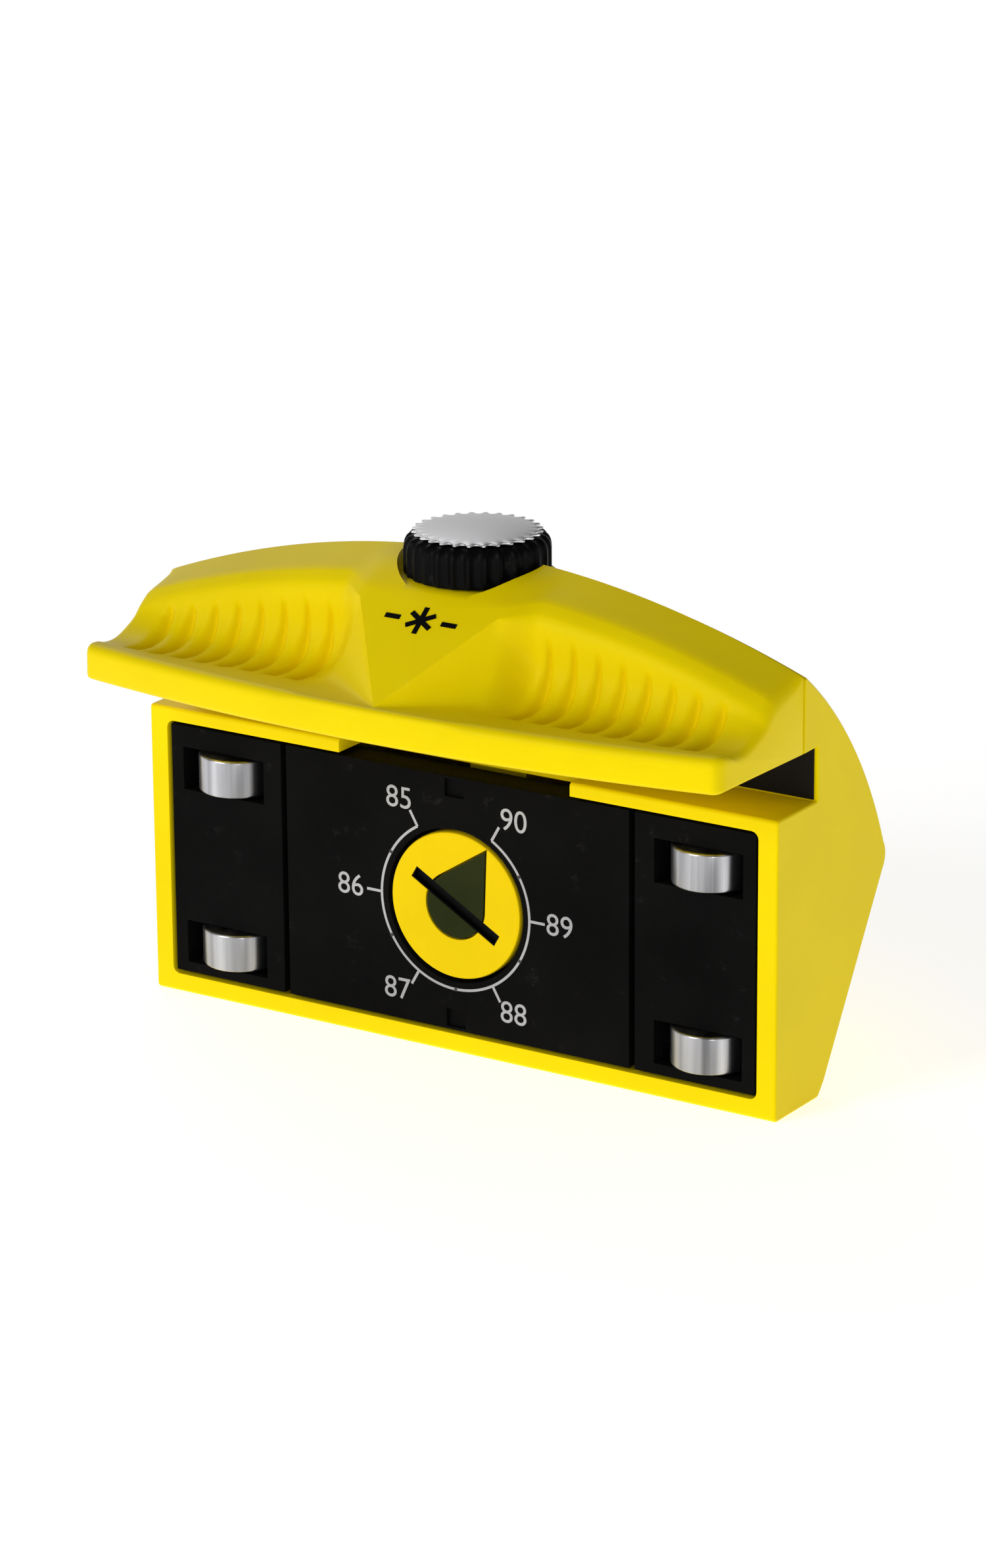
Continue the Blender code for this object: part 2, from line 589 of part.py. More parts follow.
def build_clamp():
    x, y = KNOB_AXIS.x, KNOB_AXIS.y
    knob_origin = (x, y, KNOB_BOTTOM)
    cap_bottom = KNOB_TOP - KNOB_CAP_THICKNESS
    head_top = cap_bottom - GAP
    knob = add_part("knob", prism(fluted_outline(KNOB_RADIUS), 'Z', KNOB_BOTTOM, head_top), BLACK,
                    knob_origin)
    stem = turned([(0, COLLAR_BOTTOM), (COLLAR_RADIUS, COLLAR_BOTTOM), (COLLAR_RADIUS, COLLAR_TOP),
                   (HUB_RADIUS, COLLAR_TOP), (HUB_RADIUS, KNOB_BOTTOM + HUB_BITE),
                   (0, KNOB_BOTTOM + HUB_BITE)], (x, y, 0), 'Z')
    join(knob, "knob_stem", stem)
    insert_top = INSERT_BOTTOM + INSERT_LENGTH
    cut(knob, "stud_bore", rod((x, y, COLLAR_BOTTOM - OVERCUT),
                               insert_top + GAP - COLLAR_BOTTOM + OVERCUT, INSERT_RADIUS + GAP, 'Z', 28))
    add_part("knob_cap", prism(fluted_outline(KNOB_RADIUS - GAP), 'Z', cap_bottom, KNOB_TOP), SILVER,
             (x, y, cap_bottom), knob)
    bore = STUD_RADIUS + GAP
    sleeve = turned([(bore, INSERT_BOTTOM), (INSERT_RADIUS, INSERT_BOTTOM),
                     (INSERT_RADIUS, insert_top), (bore, insert_top)], (x, y, 0), 'Z', 24)
    add_part("knob_insert", sleeve, BRASS, (x, y, INSERT_BOTTOM), knob)
    washer_bottom = COLLAR_TOP + GAP
    washer = turned([(HUB_RADIUS + RUNNING_GAP, washer_bottom), (COLLAR_RADIUS, washer_bottom),
                     (COLLAR_RADIUS, washer_bottom + WASHER_THICKNESS),
                     (HUB_RADIUS + RUNNING_GAP, washer_bottom + WASHER_THICKNESS)], (x, y, 0), 'Z', 32)
    add_part("thrust_washer", washer, STEEL)
    build_shoe(insert_top)


def build_shoe(insert_top):
    x, y = KNOB_AXIS.x, KNOB_AXIS.y
    origin = (x, y, SHOE_BOTTOM)
    spigot = STUD_RADIUS * SPIGOT_SHARE
    stud_top = insert_top - STUD_SHORTFALL
    flange_top = FLANGE_BOTTOM + FLANGE_HEIGHT
    stud = turned([(0, SHOE_BOTTOM + GAP), (spigot, SHOE_BOTTOM + GAP), (spigot, FLANGE_BOTTOM),
                   (FLANGE_RADIUS, FLANGE_BOTTOM), (FLANGE_RADIUS, flange_top),
                   (STUD_RADIUS, flange_top), (STUD_RADIUS, stud_top), (0, stud_top)], (x, y, 0), 'Z', 24)
    add_part("clamp_stud", stud, STEEL, origin)
    low = Vector((-SHOE_LENGTH / 2, SHOE_BACK - SHOE_DEPTH, SHOE_BOTTOM))
    high = Vector((SHOE_LENGTH / 2, SHOE_BACK, SHOE_TOP))
    shoe = add_part("clamp_shoe", box(low, high), STEEL, origin)
    cut(shoe, "spigot_hole", rod((x, y, SHOE_BOTTOM - OVERCUT), SHOE_THICKNESS + 2 * OVERCUT,
                                 spigot + GAP, 'Z', 24))
    pad_low = (low.x, low.y, PAD_BOTTOM)
    pad_high = (high.x, high.y, PAD_BOTTOM + PAD_THICKNESS)
    add_part("shoe_pad", box(pad_low, pad_high), RUBBER, origin)
    for side, place in (("left", -GUIDE_SPACING / 2), ("right", GUIDE_SPACING / 2)):
        cut(shoe, "guide_seat_" + side, rod((place, GUIDE_DEPTH, SHOE_BOTTOM - OVERCUT),
                                            SHOE_THICKNESS + 2 * OVERCUT, GUIDE_RADIUS + GAP, 'Z', 16))
        add_part("guide_pin_" + side, rod((place, GUIDE_DEPTH, SHOE_BOTTOM + GAP), GUIDE_LENGTH - GAP,
                                          GUIDE_RADIUS, 'Z', 16), STEEL, origin)


# --- Base plate and rollers --------------------------------------------------

def build_plate():
    groove_edge = COVER_START - COVER_GROOVE
    inner_step = groove_edge - CARRIER_STEP
    half = [(groove_edge, PLATE_RECESS), (groove_edge, CARRIER_FRONT), (PLATE_HALF, CARRIER_FRONT),
            (PLATE_HALF, CARRIER_BACK), (inner_step, CARRIER_BACK), (inner_step, PANEL_BACK)]
    outline = half + [(-x, y) for x, y in reversed(half)]
    plate = add_part("tilt_plate", prism(outline, 'Z', PLATE_BOTTOM, PLATE_TOP), BLACK,
                     (0, HINGE_DEPTH, HINGE_HEIGHT))
    recess = DIAL_BACK + GAP
    cut(plate, "dial_recess", rod((0, -OVERCUT, DIAL_HEIGHT), recess + OVERCUT,
                                  DIAL_RADIUS + DIAL_RING_GAP, 'Y', 48))
    cut(plate, "shaft_bore", rod((0, -OVERCUT, DIAL_HEIGHT), PANEL_BACK + 2 * OVERCUT,
                                 SHAFT_RADIUS + GAP, 'Y', 28))
    floor = PLATE_RECESS + INDEX_DEPTH
    cut(plate, "index_recesses",
        box((-INDEX_WIDTH / 2, -OVERCUT, PLATE_TOP - INDEX_HEIGHT),
            (INDEX_WIDTH / 2, floor, PLATE_TOP - INDEX_EDGE),
            box((-INDEX_WIDTH / 2, -OVERCUT, PLATE_BOTTOM + INDEX_EDGE),
                (INDEX_WIDTH / 2, floor, PLATE_BOTTOM + INDEX_HEIGHT))))
    for side, sign in (("left", -1), ("right", 1)):
        build_plate_side(plate, side, sign)
    return plate


def pocket_box(x, height, front, back):
    return box((x - POCKET_WIDTH / 2, front, height - POCKET_HEIGHT / 2),
               (x + POCKET_WIDTH / 2, back, height + POCKET_HEIGHT / 2))


def build_plate_side(plate, side, sign):
    x = sign * ROLLER_SPACING / 2
    ends = sorted((sign * COVER_START, sign * PLATE_HALF))
    cover = add_part("roller_cover_" + side, box((ends[0], PLATE_RECESS, PLATE_BOTTOM),
                                                 (ends[1], COVER_BACK, PLATE_TOP)), BLACK)
    middle = (ROLLER_HEIGHTS["lower"] + ROLLER_HEIGHTS["upper"]) / 2
    boss_back = CARRIER_BACK - COVER_BOSS_SHORTFALL
    boss_front = COVER_BACK - COVER_BOSS_BITE
    hole = SCREW_RADIUS + GAP
    for row, sign_z in (("lower", -1), ("upper", 1)):
        height = middle + sign_z * COVER_SCREW_SPREAD / 2
        tag = row + "_" + side
        join(cover, "boss_" + tag, rod((x, boss_front, height), boss_back - boss_front,
                                       SCREW_BOSS_RADIUS, 'Y', 20))
        cut(cover, "boss_hole_" + tag, rod((x, COVER_BACK, height), boss_back, hole, 'Y', 14))
        cut(plate, "boss_seat_" + tag, rod((x, 0, height), boss_back + GAP,
                                           SCREW_BOSS_RADIUS + GAP, 'Y', 20))
        cut(plate, "screw_way_" + tag, rod((x, 0, height), CARRIER_BACK + OVERCUT, hole, 'Y', 14))
        add_screw("cover_screw_" + tag, (x, CARRIER_BACK + GAP, height),
                  CARRIER_BACK - COVER_BACK, -1)
    for row, height in ROLLER_HEIGHTS.items():
        tag = row + "_" + side
        cut(cover, "cover_window_" + tag, pocket_box(x, height, -OVERCUT, COVER_BACK + OVERCUT))
        cut(plate, "roller_pocket_" + tag, pocket_box(x, height, -OVERCUT, CARRIER_BACK + OVERCUT))
        channel = PIN_RADIUS + RUNNING_GAP
        seat = POCKET_HEIGHT / 2 + PIN_SEAT
        cut(plate, "pin_channel_" + tag,
            box((x - channel, 0, height - seat - RUNNING_GAP),
                (x + channel, ROLLER_DEPTH + channel, height + seat + RUNNING_GAP)))
        build_roller(tag, x, height, seat)
    spring_start = HALF_LENGTH - SIDE_RIM + HINGE_PIN_BITE - HINGE_PIN_LENGTH
    room = SPRING_RADIUS + SPRING_WIRE + GAP
    spring_end = spring_start + SPRING_LENGTH + 4 * GAP
    low_x, high_x = sorted((sign * (spring_start - RUNNING_GAP), sign * spring_end))
    cut(plate, "spring_room_" + side, box((low_x, 0, HINGE_HEIGHT - room),
                                          (high_x, CARRIER_BACK + OVERCUT, PLATE_TOP + OVERCUT)))
    hole_start = spring_start if sign > 0 else -PLATE_HALF - OVERCUT
    hole_length = PLATE_HALF + OVERCUT - spring_start
    cut(plate, "hinge_bore_" + side, rod((hole_start, HINGE_DEPTH, HINGE_HEIGHT), hole_length,
                                         HINGE_PIN_RADIUS + RUNNING_GAP, 'X', 16))
    pin_start = spring_start if sign > 0 else -spring_start - HINGE_PIN_LENGTH
    add_part("hinge_pin_" + side, rod((pin_start, HINGE_DEPTH, HINGE_HEIGHT), HINGE_PIN_LENGTH,
                                      HINGE_PIN_RADIUS, 'X', 16), STEEL)
    build_spring(side, sign, spring_start + GAP)


def build_roller(tag, x, height, seat):
    origin = (x, ROLLER_DEPTH, height)
    bore = PIN_RADIUS + RUNNING_GAP
    edge = ROLLER_EDGE
    half = ROLLER_LENGTH / 2
    outline = [(bore, -half), (ROLLER_RADIUS - edge, -half), (ROLLER_RADIUS, -half + edge),
               (ROLLER_RADIUS, half - edge), (ROLLER_RADIUS - edge, half), (bore, half)]
    add_part("roller_" + tag, turned(outline, origin, 'Z', 36), STEEL, origin)
    pin = rod((x, ROLLER_DEPTH, height - seat), 2 * seat, PIN_RADIUS, 'Z', 20)
    add_part("roller_pin_" + tag, pin, STEEL)


def build_spring(side, sign, start):
    """A torsion spring round the hinge pin, with both legs to the back."""
    wire = bpy.data.curves.new("torsion_spring_" + side, 'CURVE')
    wire.dimensions = '3D'
    wire.bevel_depth = SPRING_WIRE
    wire.bevel_resolution = 1
    wire.use_fill_caps = True
    steps_per_turn = 10
    count = SPRING_TURNS * steps_per_turn + steps_per_turn // 2
    points = [(start, SPRING_LEG, SPRING_RADIUS)]
    for index in range(count + 1):
        angle = -math.tau * index / steps_per_turn
        points.append((start + (SPRING_LENGTH - 2 * SPRING_WIRE) * index / count,
                       SPRING_RADIUS * math.sin(angle), SPRING_RADIUS * math.cos(angle)))
    points.append((points[-1][0], SPRING_LEG, points[-1][2]))
    spline = wire.splines.new('POLY')
    spline.points.add(len(points) - 1)
    for point, place in zip(spline.points, points):
        point.co = (sign * place[0], place[1], place[2], 1)
    wire.materials.append(STEEL)
    spring = bpy.data.objects.new("torsion_spring_" + side, wire)
    bpy.context.scene.collection.objects.link(spring)
    spring.parent = FRAME
    spring.location = (0, HINGE_DEPTH, HINGE_HEIGHT)


# --- Dial and cam ------------------------------------------------------------

def teardrop(grow):
    """The pointer's outline about the dial axis: a circle drawn out to a tip."""
    radius = POINTER_ROUND + grow
    tip = POINTER_TIP + grow * 2
    touch = math.acos(radius / tip)
    turn = math.radians(DIAL_REST_DEG)
    count = 20
    sweep = math.tau - 2 * touch
    angles = [touch + sweep * index / count for index in range(count + 1)]
    outline = [(tip * math.sin(turn), DIAL_HEIGHT + tip * math.cos(turn))]
    for angle in angles:
        outline.append((radius * math.sin(turn + angle),
                        DIAL_HEIGHT + radius * math.cos(turn + angle)))
    return outline


def coin_slot():
    bm = box((-COIN_SLOT_LENGTH / 2, -OVERCUT, -COIN_SLOT_WIDTH / 2),
             (COIN_SLOT_LENGTH / 2, PLATE_RECESS + COIN_SLOT_DEPTH, COIN_SLOT_WIDTH / 2))
    turn = Matrix.Rotation(math.radians(DIAL_REST_DEG), 4, 'Y')
    bmesh.ops.transform(bm, verts=bm.verts, matrix=Matrix.Translation((0, 0, DIAL_HEIGHT)) @ turn)
    return bm


def build_dial():
    origin = (0, PLATE_RECESS, DIAL_HEIGHT)
    hub_back = PANEL_BACK
    profile = [(0, PLATE_RECESS), (DIAL_RADIUS - DIAL_EDGE, PLATE_RECESS),
               (DIAL_RADIUS, PLATE_RECESS + DIAL_EDGE), (DIAL_RADIUS, DIAL_BACK),
               (SHAFT_RADIUS, DIAL_BACK), (SHAFT_RADIUS, hub_back), (0, hub_back)]
    dial = add_part("dial", turned(profile, (0, 0, DIAL_HEIGHT), 'Y', 48), YELLOW, origin)
    tongue = TONGUE_SIZE / 2
    tongue_back = CAM_BACK - GAP
    join(dial, "dial_tongue", box((-tongue, hub_back - TONGUE_BITE, DIAL_HEIGHT - tongue),
                                  (tongue, tongue_back, DIAL_HEIGHT + tongue)))
    cut(dial, "pointer_pocket", prism(teardrop(GAP), 'Y', -OVERCUT, PLATE_RECESS + POINTER_THICKNESS + GAP))
    cut(dial, "dial_coin_slot", coin_slot())
    screw_tip = DIAL_BACK
    cut(dial, "cam_screw_hole", rod((0, screw_tip - GAP, DIAL_HEIGHT), CAM_BACK,
                                    SCREW_RADIUS + GAP, 'Y', 14))
    pointer = add_part("dial_pointer", prism(teardrop(0), 'Y', PLATE_RECESS,
                                             PLATE_RECESS + POINTER_THICKNESS), UMBER, origin)
    cut(pointer, "pointer_coin_slot", coin_slot())
    build_cam(origin, screw_tip)


def cam_lift(turned_deg):
    """Rise of the cam track at an angle, clockwise from straight up as seen from the front."""
    back = (180.0 - turned_deg) % 360.0
    if back <= DIAL_TURN_DEG:
        return CAM_RISE * back / DIAL_TURN_DEG
    past = back - DIAL_TURN_DEG
    if past <= CAM_DWELL_DEG:
        return CAM_RISE
    return max(0.0, CAM_RISE * (1 - (past - CAM_DWELL_DEG) / CAM_DWELL_DEG))


def build_cam(origin, screw_tip):
    inner = CAM_TRACK_INNER - CAM_WEB_INSET
    step = CAM_BACK - CAM_WEB_STEP
    profile = [(CAM_TRACK_INNER, CAM_BACK), (CAM_RADIUS, CAM_BACK), (CAM_RADIUS, CAM_FRONT),
               (inner, CAM_FRONT), (inner, step), (CAM_TRACK_INNER, step)]
    bm = turned(profile, (0, 0, DIAL_HEIGHT), 'Y', 48)
    for vert in bm.verts:
        if vert.co.y > CAM_BACK - 0.05 * MM:
            angle = math.degrees(math.atan2(vert.co.x, vert.co.z - DIAL_HEIGHT))
            vert.co.y += cam_lift(angle)
    bmesh.ops.triangulate(bm, faces=bm.faces)
    cam = add_part("angle_cam", bm, ACETAL, origin)
    web = rod((0, CAM_FRONT, DIAL_HEIGHT), CAM_WEB_THICKNESS, CAM_TRACK_INNER, 'Y', 32)
    join(cam, "cam_web", web)
    hole = TONGUE_SIZE / 2 + GAP
    cut(cam, "tongue_hole", box((-hole, 0, DIAL_HEIGHT - hole),
                                (hole, CAM_BACK + OVERCUT, DIAL_HEIGHT + hole)))
    head_face = CAM_BACK
    shank = rod((0, screw_tip, DIAL_HEIGHT), head_face - screw_tip + 0.2 * MM, SCREW_RADIUS, 'Y', 14)
    screw = add_part("cam_screw", shank, STEEL, origin)
    join(screw, "cam_screw_head", rod((0, head_face, DIAL_HEIGHT), SCREW_HEAD_HEIGHT,
                                      CAM_SCREW_HEAD, 'Y', 24))
    anvil_height = DIAL_HEIGHT - CAM_CONTACT_RADIUS
    add_part("cam_anvil", rod((0, ANVIL_FACE, anvil_height), CAVITY_DEPTH + ANVIL_SEAT - ANVIL_FACE,
                              ANVIL_RADIUS, 'Y', 20), STEEL)


clear_scene()
FRAME = add_empty("tool_frame", (0, (WING_REACH - BACK_DEPTH) / 2, 0))
YELLOW = finish("yellow_plastic", (0.93, 0.66, 0.01), 0.35)
BLACK = finish("black_plastic", (0.012, 0.013, 0.012), 0.5)
UMBER = finish("umber_plastic", (0.035, 0.035, 0.012), 0.5)
SILVER = finish("satin_aluminium", (0.75, 0.75, 0.76), 0.3, 1.0)
STEEL = finish("bright_steel", (0.72, 0.72, 0.74), 0.25, 1.0)
BRASS = finish("brass", (0.72, 0.5, 0.18), 0.3, 1.0)
RUBBER = finish("rubber", (0.02, 0.02, 0.02), 0.8)
ACETAL = finish("white_acetal", (0.8, 0.8, 0.76), 0.4)
build_housing()
build_handle()
build_clamp()
build_plate()
build_dial()
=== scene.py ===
"""Finished look of the side-edge file guide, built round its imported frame.

Metres, +Z up, +X along the file. A shape is drawn with its depth counted from the
front face of the housing's rim, +Y to the back, and moved into place at the end.
"""
import math

import bmesh
import bpy
import json
from mathutils import Matrix, Vector

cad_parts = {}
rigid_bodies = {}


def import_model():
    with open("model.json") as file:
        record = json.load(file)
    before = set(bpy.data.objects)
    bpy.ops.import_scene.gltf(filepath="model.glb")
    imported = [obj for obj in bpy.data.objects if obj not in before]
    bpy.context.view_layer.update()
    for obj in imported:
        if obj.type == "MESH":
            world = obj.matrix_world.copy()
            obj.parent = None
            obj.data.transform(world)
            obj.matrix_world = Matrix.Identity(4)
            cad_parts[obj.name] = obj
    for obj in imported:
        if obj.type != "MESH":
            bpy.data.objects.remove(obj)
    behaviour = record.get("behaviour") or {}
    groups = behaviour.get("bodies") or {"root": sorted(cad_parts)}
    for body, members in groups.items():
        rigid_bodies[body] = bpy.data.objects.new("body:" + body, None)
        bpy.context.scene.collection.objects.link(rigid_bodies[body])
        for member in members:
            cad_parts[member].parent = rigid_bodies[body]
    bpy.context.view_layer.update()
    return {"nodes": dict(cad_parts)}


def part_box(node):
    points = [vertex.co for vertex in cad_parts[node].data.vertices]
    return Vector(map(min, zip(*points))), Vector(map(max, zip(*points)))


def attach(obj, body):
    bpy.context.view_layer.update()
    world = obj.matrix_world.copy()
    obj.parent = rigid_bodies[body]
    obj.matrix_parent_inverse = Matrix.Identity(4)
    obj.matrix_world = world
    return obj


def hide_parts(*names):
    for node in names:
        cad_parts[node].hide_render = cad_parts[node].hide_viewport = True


for leftover in list(bpy.data.objects):
    bpy.data.objects.remove(leftover)
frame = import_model()

MM = 0.001
HOUSING_LOW, HOUSING_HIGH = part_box("rear_body")
FRONT = HOUSING_LOW.y
HALF_LENGTH = HOUSING_HIGH.x

# Housing
BASE_DEPTH = 12.6 * MM
BASE_CHAMFER = 2.0 * MM
BACK_DEPTH = HOUSING_HIGH.y - FRONT
NOSE_HEIGHT = 32.4 * MM
NOSE_RADIUS = 3.6 * MM
BACK_BULGE = 2.9 * MM
RIDGE_HEIGHT = 76.9 * MM
RIDGE_RADIUS = 143.0 * MM
PARTING = 7.2 * MM
SEAM = 0.21 * MM
OPENING_HALF = HALF_LENGTH - 3.2 * MM
OPENING_LOW = 3.0 * MM
OPENING_TOP = 44.1 * MM
CAVITY_DEPTH = 12.4 * MM
SLOT_FLOOR = 46.2 * MM
SLOT_ROOF = 54.4 * MM
SLOT_DEPTH = 11.4 * MM
NOTCH_HALF = 20.5 * MM
NOTCH_DEPTH = 6.0 * MM
SHELL_WALL = 2.6 * MM
RIB_HALF = 5.0 * MM
NOSE_LOW = NOSE_HEIGHT - NOSE_RADIUS * 0.6
NOSE_TOP = NOSE_HEIGHT + NOSE_RADIUS * 0.6
HOUSING_EDGE = 0.4 * MM
CAVITY_CORNER = 1.2 * MM
TURRET_DEPTH = 14 * MM
ANVIL_HEIGHT = 17.3 * MM
ANVIL_HOLE = 1.8 * MM
HINGE_DEPTH = 4.55 * MM
HINGE_HEIGHT = 41.8 * MM
HINGE_HOLE = 1.15 * MM
HINGE_HOLE_LENGTH = 4.5 * MM

# Handle
WING_REACH = 22.0 * MM
WING_BOW = 568.0 * MM
WING_CORNER = 1.5 * MM
WING_TOP = 59.8 * MM
PROW_HALF = 12.1 * MM
PROW_SETBACK = 1.5 * MM
PROW_RUN = 14.5 * MM
PROW_RISE = 11.5 * MM
SCOOP_START = 17.0 * MM
END_ROUND = 3.0 * MM
GROOVE_FIRST = 19.2 * MM
GROOVE_PITCH = 4.2 * MM
GROOVE_COUNT = 8
GROOVE_WIDTH = 0.38 * MM
GROOVE_FOOT_WIDTH = 0.85 * MM
GROOVE_DEPTH = 1.25 * MM
GROOVE_FOOT = -13.6 * MM
HANDLE_END_ROUND = 1.3 * MM
CREST_GAP = 0.3 * MM

# Steps along each stretch of the handle's upper line, and how sharp its creases are
LINE_STEPS = (2, 7, 6, 7, 6, 8, 7, 4, 3)
PROW_CREASES = {6: 1.0, 7: 1.0}
SCOOP_CREASES = {6: 0.0, 7: 0.65}

# Screws and pins that hold the two shells
SHELL_SCREWS = (-44 * MM, -22 * MM, 22 * MM, 44 * MM)
SHELL_SCREW_HEIGHT = 60.5 * MM
SCREW_HOLE = 1.4 * MM
HEAD_WELL = 2.5 * MM
HEAD_SEAT = 10.35 * MM
GUIDE_PINS = (-9 * MM, 9 * MM)
GUIDE_PIN_DEPTH = 2 * MM
GUIDE_PIN_LOW = 58 * MM
GUIDE_PIN_HOLE = 1.35 * MM

# Knob and clamp
KNOB_RADIUS = 11.0 * MM
KNOB_LOW = 73.5 * MM
KNOB_TOP = 80.5 * MM
LANDING = 73.2 * MM
LANDING_RADIUS = 11.9 * MM
FLUTES = 28
FLUTE_DEPTH = 0.6 * MM
FLUTE_HALF = 0.85 * MM
COLLAR_RADIUS = 6.4 * MM
COLLAR_LOW = 62.5 * MM
COLLAR_TOP = 64.5 * MM
STEM_RADIUS = 5.0 * MM
INSERT_HOLE = 3.6 * MM
CAP_INSET = 1.25 * MM
CAP_DOME = 0.48 * MM
SHOE_ROOM_HALF = 15.3 * MM
SHOE_ROOM_FRONT = -1.4 * MM
SHOE_ROOM_BACK = 11.1 * MM
SHOE_ROOM_TOP = 58.6 * MM
# Low end, high end and radius in mm: the stud's foot, the stud, the collar and the stem
CLAMP_BORES = ((58.3, 60.1, 3.9), (58.6, 62.5, 2.8), (62.2, 65.8, 6.7), (64.5, 75.2, 5.3))

# Plate and dial
PLATE_FACE = 0.3 * MM
DIAL_HEIGHT = 23.3 * MM
DIAL_RADIUS = 11.5 * MM
DIAL_BACK = 3.2 * MM
DIAL_REST = math.radians(30)
HUB_RADIUS = 3.5 * MM
HUB_BACK = 5.6 * MM
TONGUE_HALF = 2.2 * MM
CAM_SCREW_HOLE = 1.4 * MM
POINTER_RADIUS = 5.0 * MM
POINTER_TIP = 10.8 * MM
POINTER_GAP = 0.3 * MM
POINTER_POCKET = 1.9 * MM
POINTER_THICKNESS = 1.6 * MM
COIN_SLOT_HALF = 8.5 * MM
COIN_SLOT_DEPTH = 1.0 * MM
PRINT_THICKNESS = 0.05 * MM
NUMBER_HEIGHT = 3.5 * MM
# Where each number stands from the dial's middle, in mm
NUMBER_PLACES = {"90": (10.5, 15), "89": (18.5, 0), "88": (10.3, -15.3), "87": (-10.6, -15.1),
                 "86": (-18.9, 0), "85": (-9.9, 15.3)}

# Emblem on the prow
EMBLEM_PLACE = 0.86
EMBLEM_SIZE = 4.8 * MM
EMBLEM_STROKE = 0.8 * MM
EMBLEM_RISE = 0.12 * MM
EMBLEM_SINK = 0.1 * MM
EMBLEM_BAR_PLACE = 4.9 * MM
EMBLEM_BAR_HALF = 1.3 * MM

# Rollers
ROLLER_BORE = 1.65 * MM
ROLLER_EDGE = 0.45 * MM
ROLLER_BORE_EDGE = 0.2 * MM

# Finishes
BLOTCH_SCALE = 60
SCUFF_SCALE = 240
SCUFF_SPAN = (0.6, 0.74)

# Stage
CAMERA_TURN = math.radians(33.159)
CAMERA_RISE = math.radians(17.711)
CAMERA_ROLL = math.radians(-0.425)
CAMERA_DISTANCE = 801.083 * MM
CAMERA_TARGET = Vector((7.117 * MM, FRONT, 43.744 * MM))
LENS = 124.56
HORIZON_GLOW = 0.8
ZENITH_GLOW = 0.15
FRONT_GLOW = 0.2
FLOOR_GLOW = 0.62
# Name, place, size and power of each light
LIGHTS = (("front_light", (-0.45, -1.15, 0.62), (0.45, 0.45), 5.4),
          ("low_light", (0.75, -1.05, 0.2), (0.1, 0.3), 2.0),
          ("back_light", (-0.9, 0.75, 0.9), (0.8, 0.6), 2.2))


# --- Shapes --------------------------------------------------------------------

def into_scene(name, data):
    """A new object for a mesh, curve, lamp or camera."""
    thing = bpy.data.objects.new(name, data)
    bpy.context.scene.collection.objects.link(thing)
    return thing


def box(low, high, bm=None):
    """A box between two corners, in a new bmesh or added to the one given."""
    bm = bm or bmesh.new()
    low = Vector(low)
    high = Vector(high)
    place = Matrix.Translation((low + high) / 2) @ Matrix.Diagonal((*(high - low), 1))
    bmesh.ops.create_cube(bm, size=1.0, matrix=place)
    return bm


AXIS_TURNS = {
    'X': Matrix.Rotation(math.pi / 2, 4, 'Y'),
    'Y': Matrix.Rotation(-math.pi / 2, 4, 'X'),
    'Z': Matrix.Identity(4),
}


def rod(start, length, radius, axis, segments=48, bm=None):
    """A round bar from a start point along +axis."""
    bm = bm or bmesh.new()
    place = Matrix.Translation(start) @ AXIS_TURNS[axis] @ Matrix.Translation((0, 0, length / 2))
    bmesh.ops.create_cone(bm, cap_ends=True, segments=segments, radius1=radius,
                          radius2=radius, depth=length, matrix=place)
    return bm


def turned(profile, place, axis, segments=96):
    """A solid of revolution from (radius, height) points round a local axis."""
    bm = bmesh.new()
    points = [bm.verts.new((radius, 0, height)) for radius, height in profile]
    edges = [bm.edges.new(pair) for pair in zip(points, points[1:])]
    if profile[0][0] > 0:
        edges.append(bm.edges.new((points[-1], points[0])))
    bmesh.ops.spin(bm, geom=points + edges, cent=(0, 0, 0), axis=(0, 0, 1),
                   angle=math.tau, steps=segments, use_merge=True)
    bmesh.ops.remove_doubles(bm, verts=bm.verts, dist=0.001 * MM)
    bmesh.ops.transform(bm, verts=bm.verts, matrix=Matrix.Translation(place) @ AXIS_TURNS[axis])
    bmesh.ops.recalc_face_normals(bm, faces=bm.faces)
    return bm


def prism(outline, axis, start, end):
    """An outline of two coordinates, swept along the third from start to end."""
    bm = bmesh.new()
    order = {'X': (2, 0, 1), 'Y': (0, 2, 1), 'Z': (0, 1, 2)}[axis]
    corners = []
    for point in outline:
        values = (*point, start)
        corners.append(bm.verts.new([values[order[index]] for index in range(3)]))
    face = bm.faces.new(corners)
    swept = bmesh.ops.extrude_face_region(bm, geom=[face])
    moved = [item for item in swept["geom"] if isinstance(item, bmesh.types.BMVert)]
    shift = Vector([end - start if item == axis else 0 for item in 'XYZ'])
    bmesh.ops.translate(bm, verts=moved, vec=shift)
    bmesh.ops.recalc_face_normals(bm, faces=bm.faces)
    return bm


def lofted(levels, corner):
    """A closed shell through (position, outline) levels; the outlines have equally many points.

    corner(position, point) gives the place of an outline's point.
    """
    across = len(levels) - 1
    around = len(levels[0][1])
    bm = bmesh.new()
    bmesh.ops.create_grid(bm, x_segments=across, y_segments=around, size=0.5)
    for vert in bm.verts:
        position, outline = levels[round((vert.co.x + 0.5) * across)]
        vert.co = corner(position, outline[round((vert.co.y + 0.5) * around) % around])
    bmesh.ops.remove_doubles(bm, verts=bm.verts, dist=0.0005 * MM)
    rims = [edge for edge in bm.edges if edge.is_boundary]
    bmesh.ops.holes_fill(bm, edges=rims, sides=0)
    bmesh.ops.recalc_face_normals(bm, faces=bm.faces)
    return bm


def skin(sections):
    """A shell over (x, outline) sections of (depth, height) points."""
    return lofted(sections, lambda x, point: (x, *point))


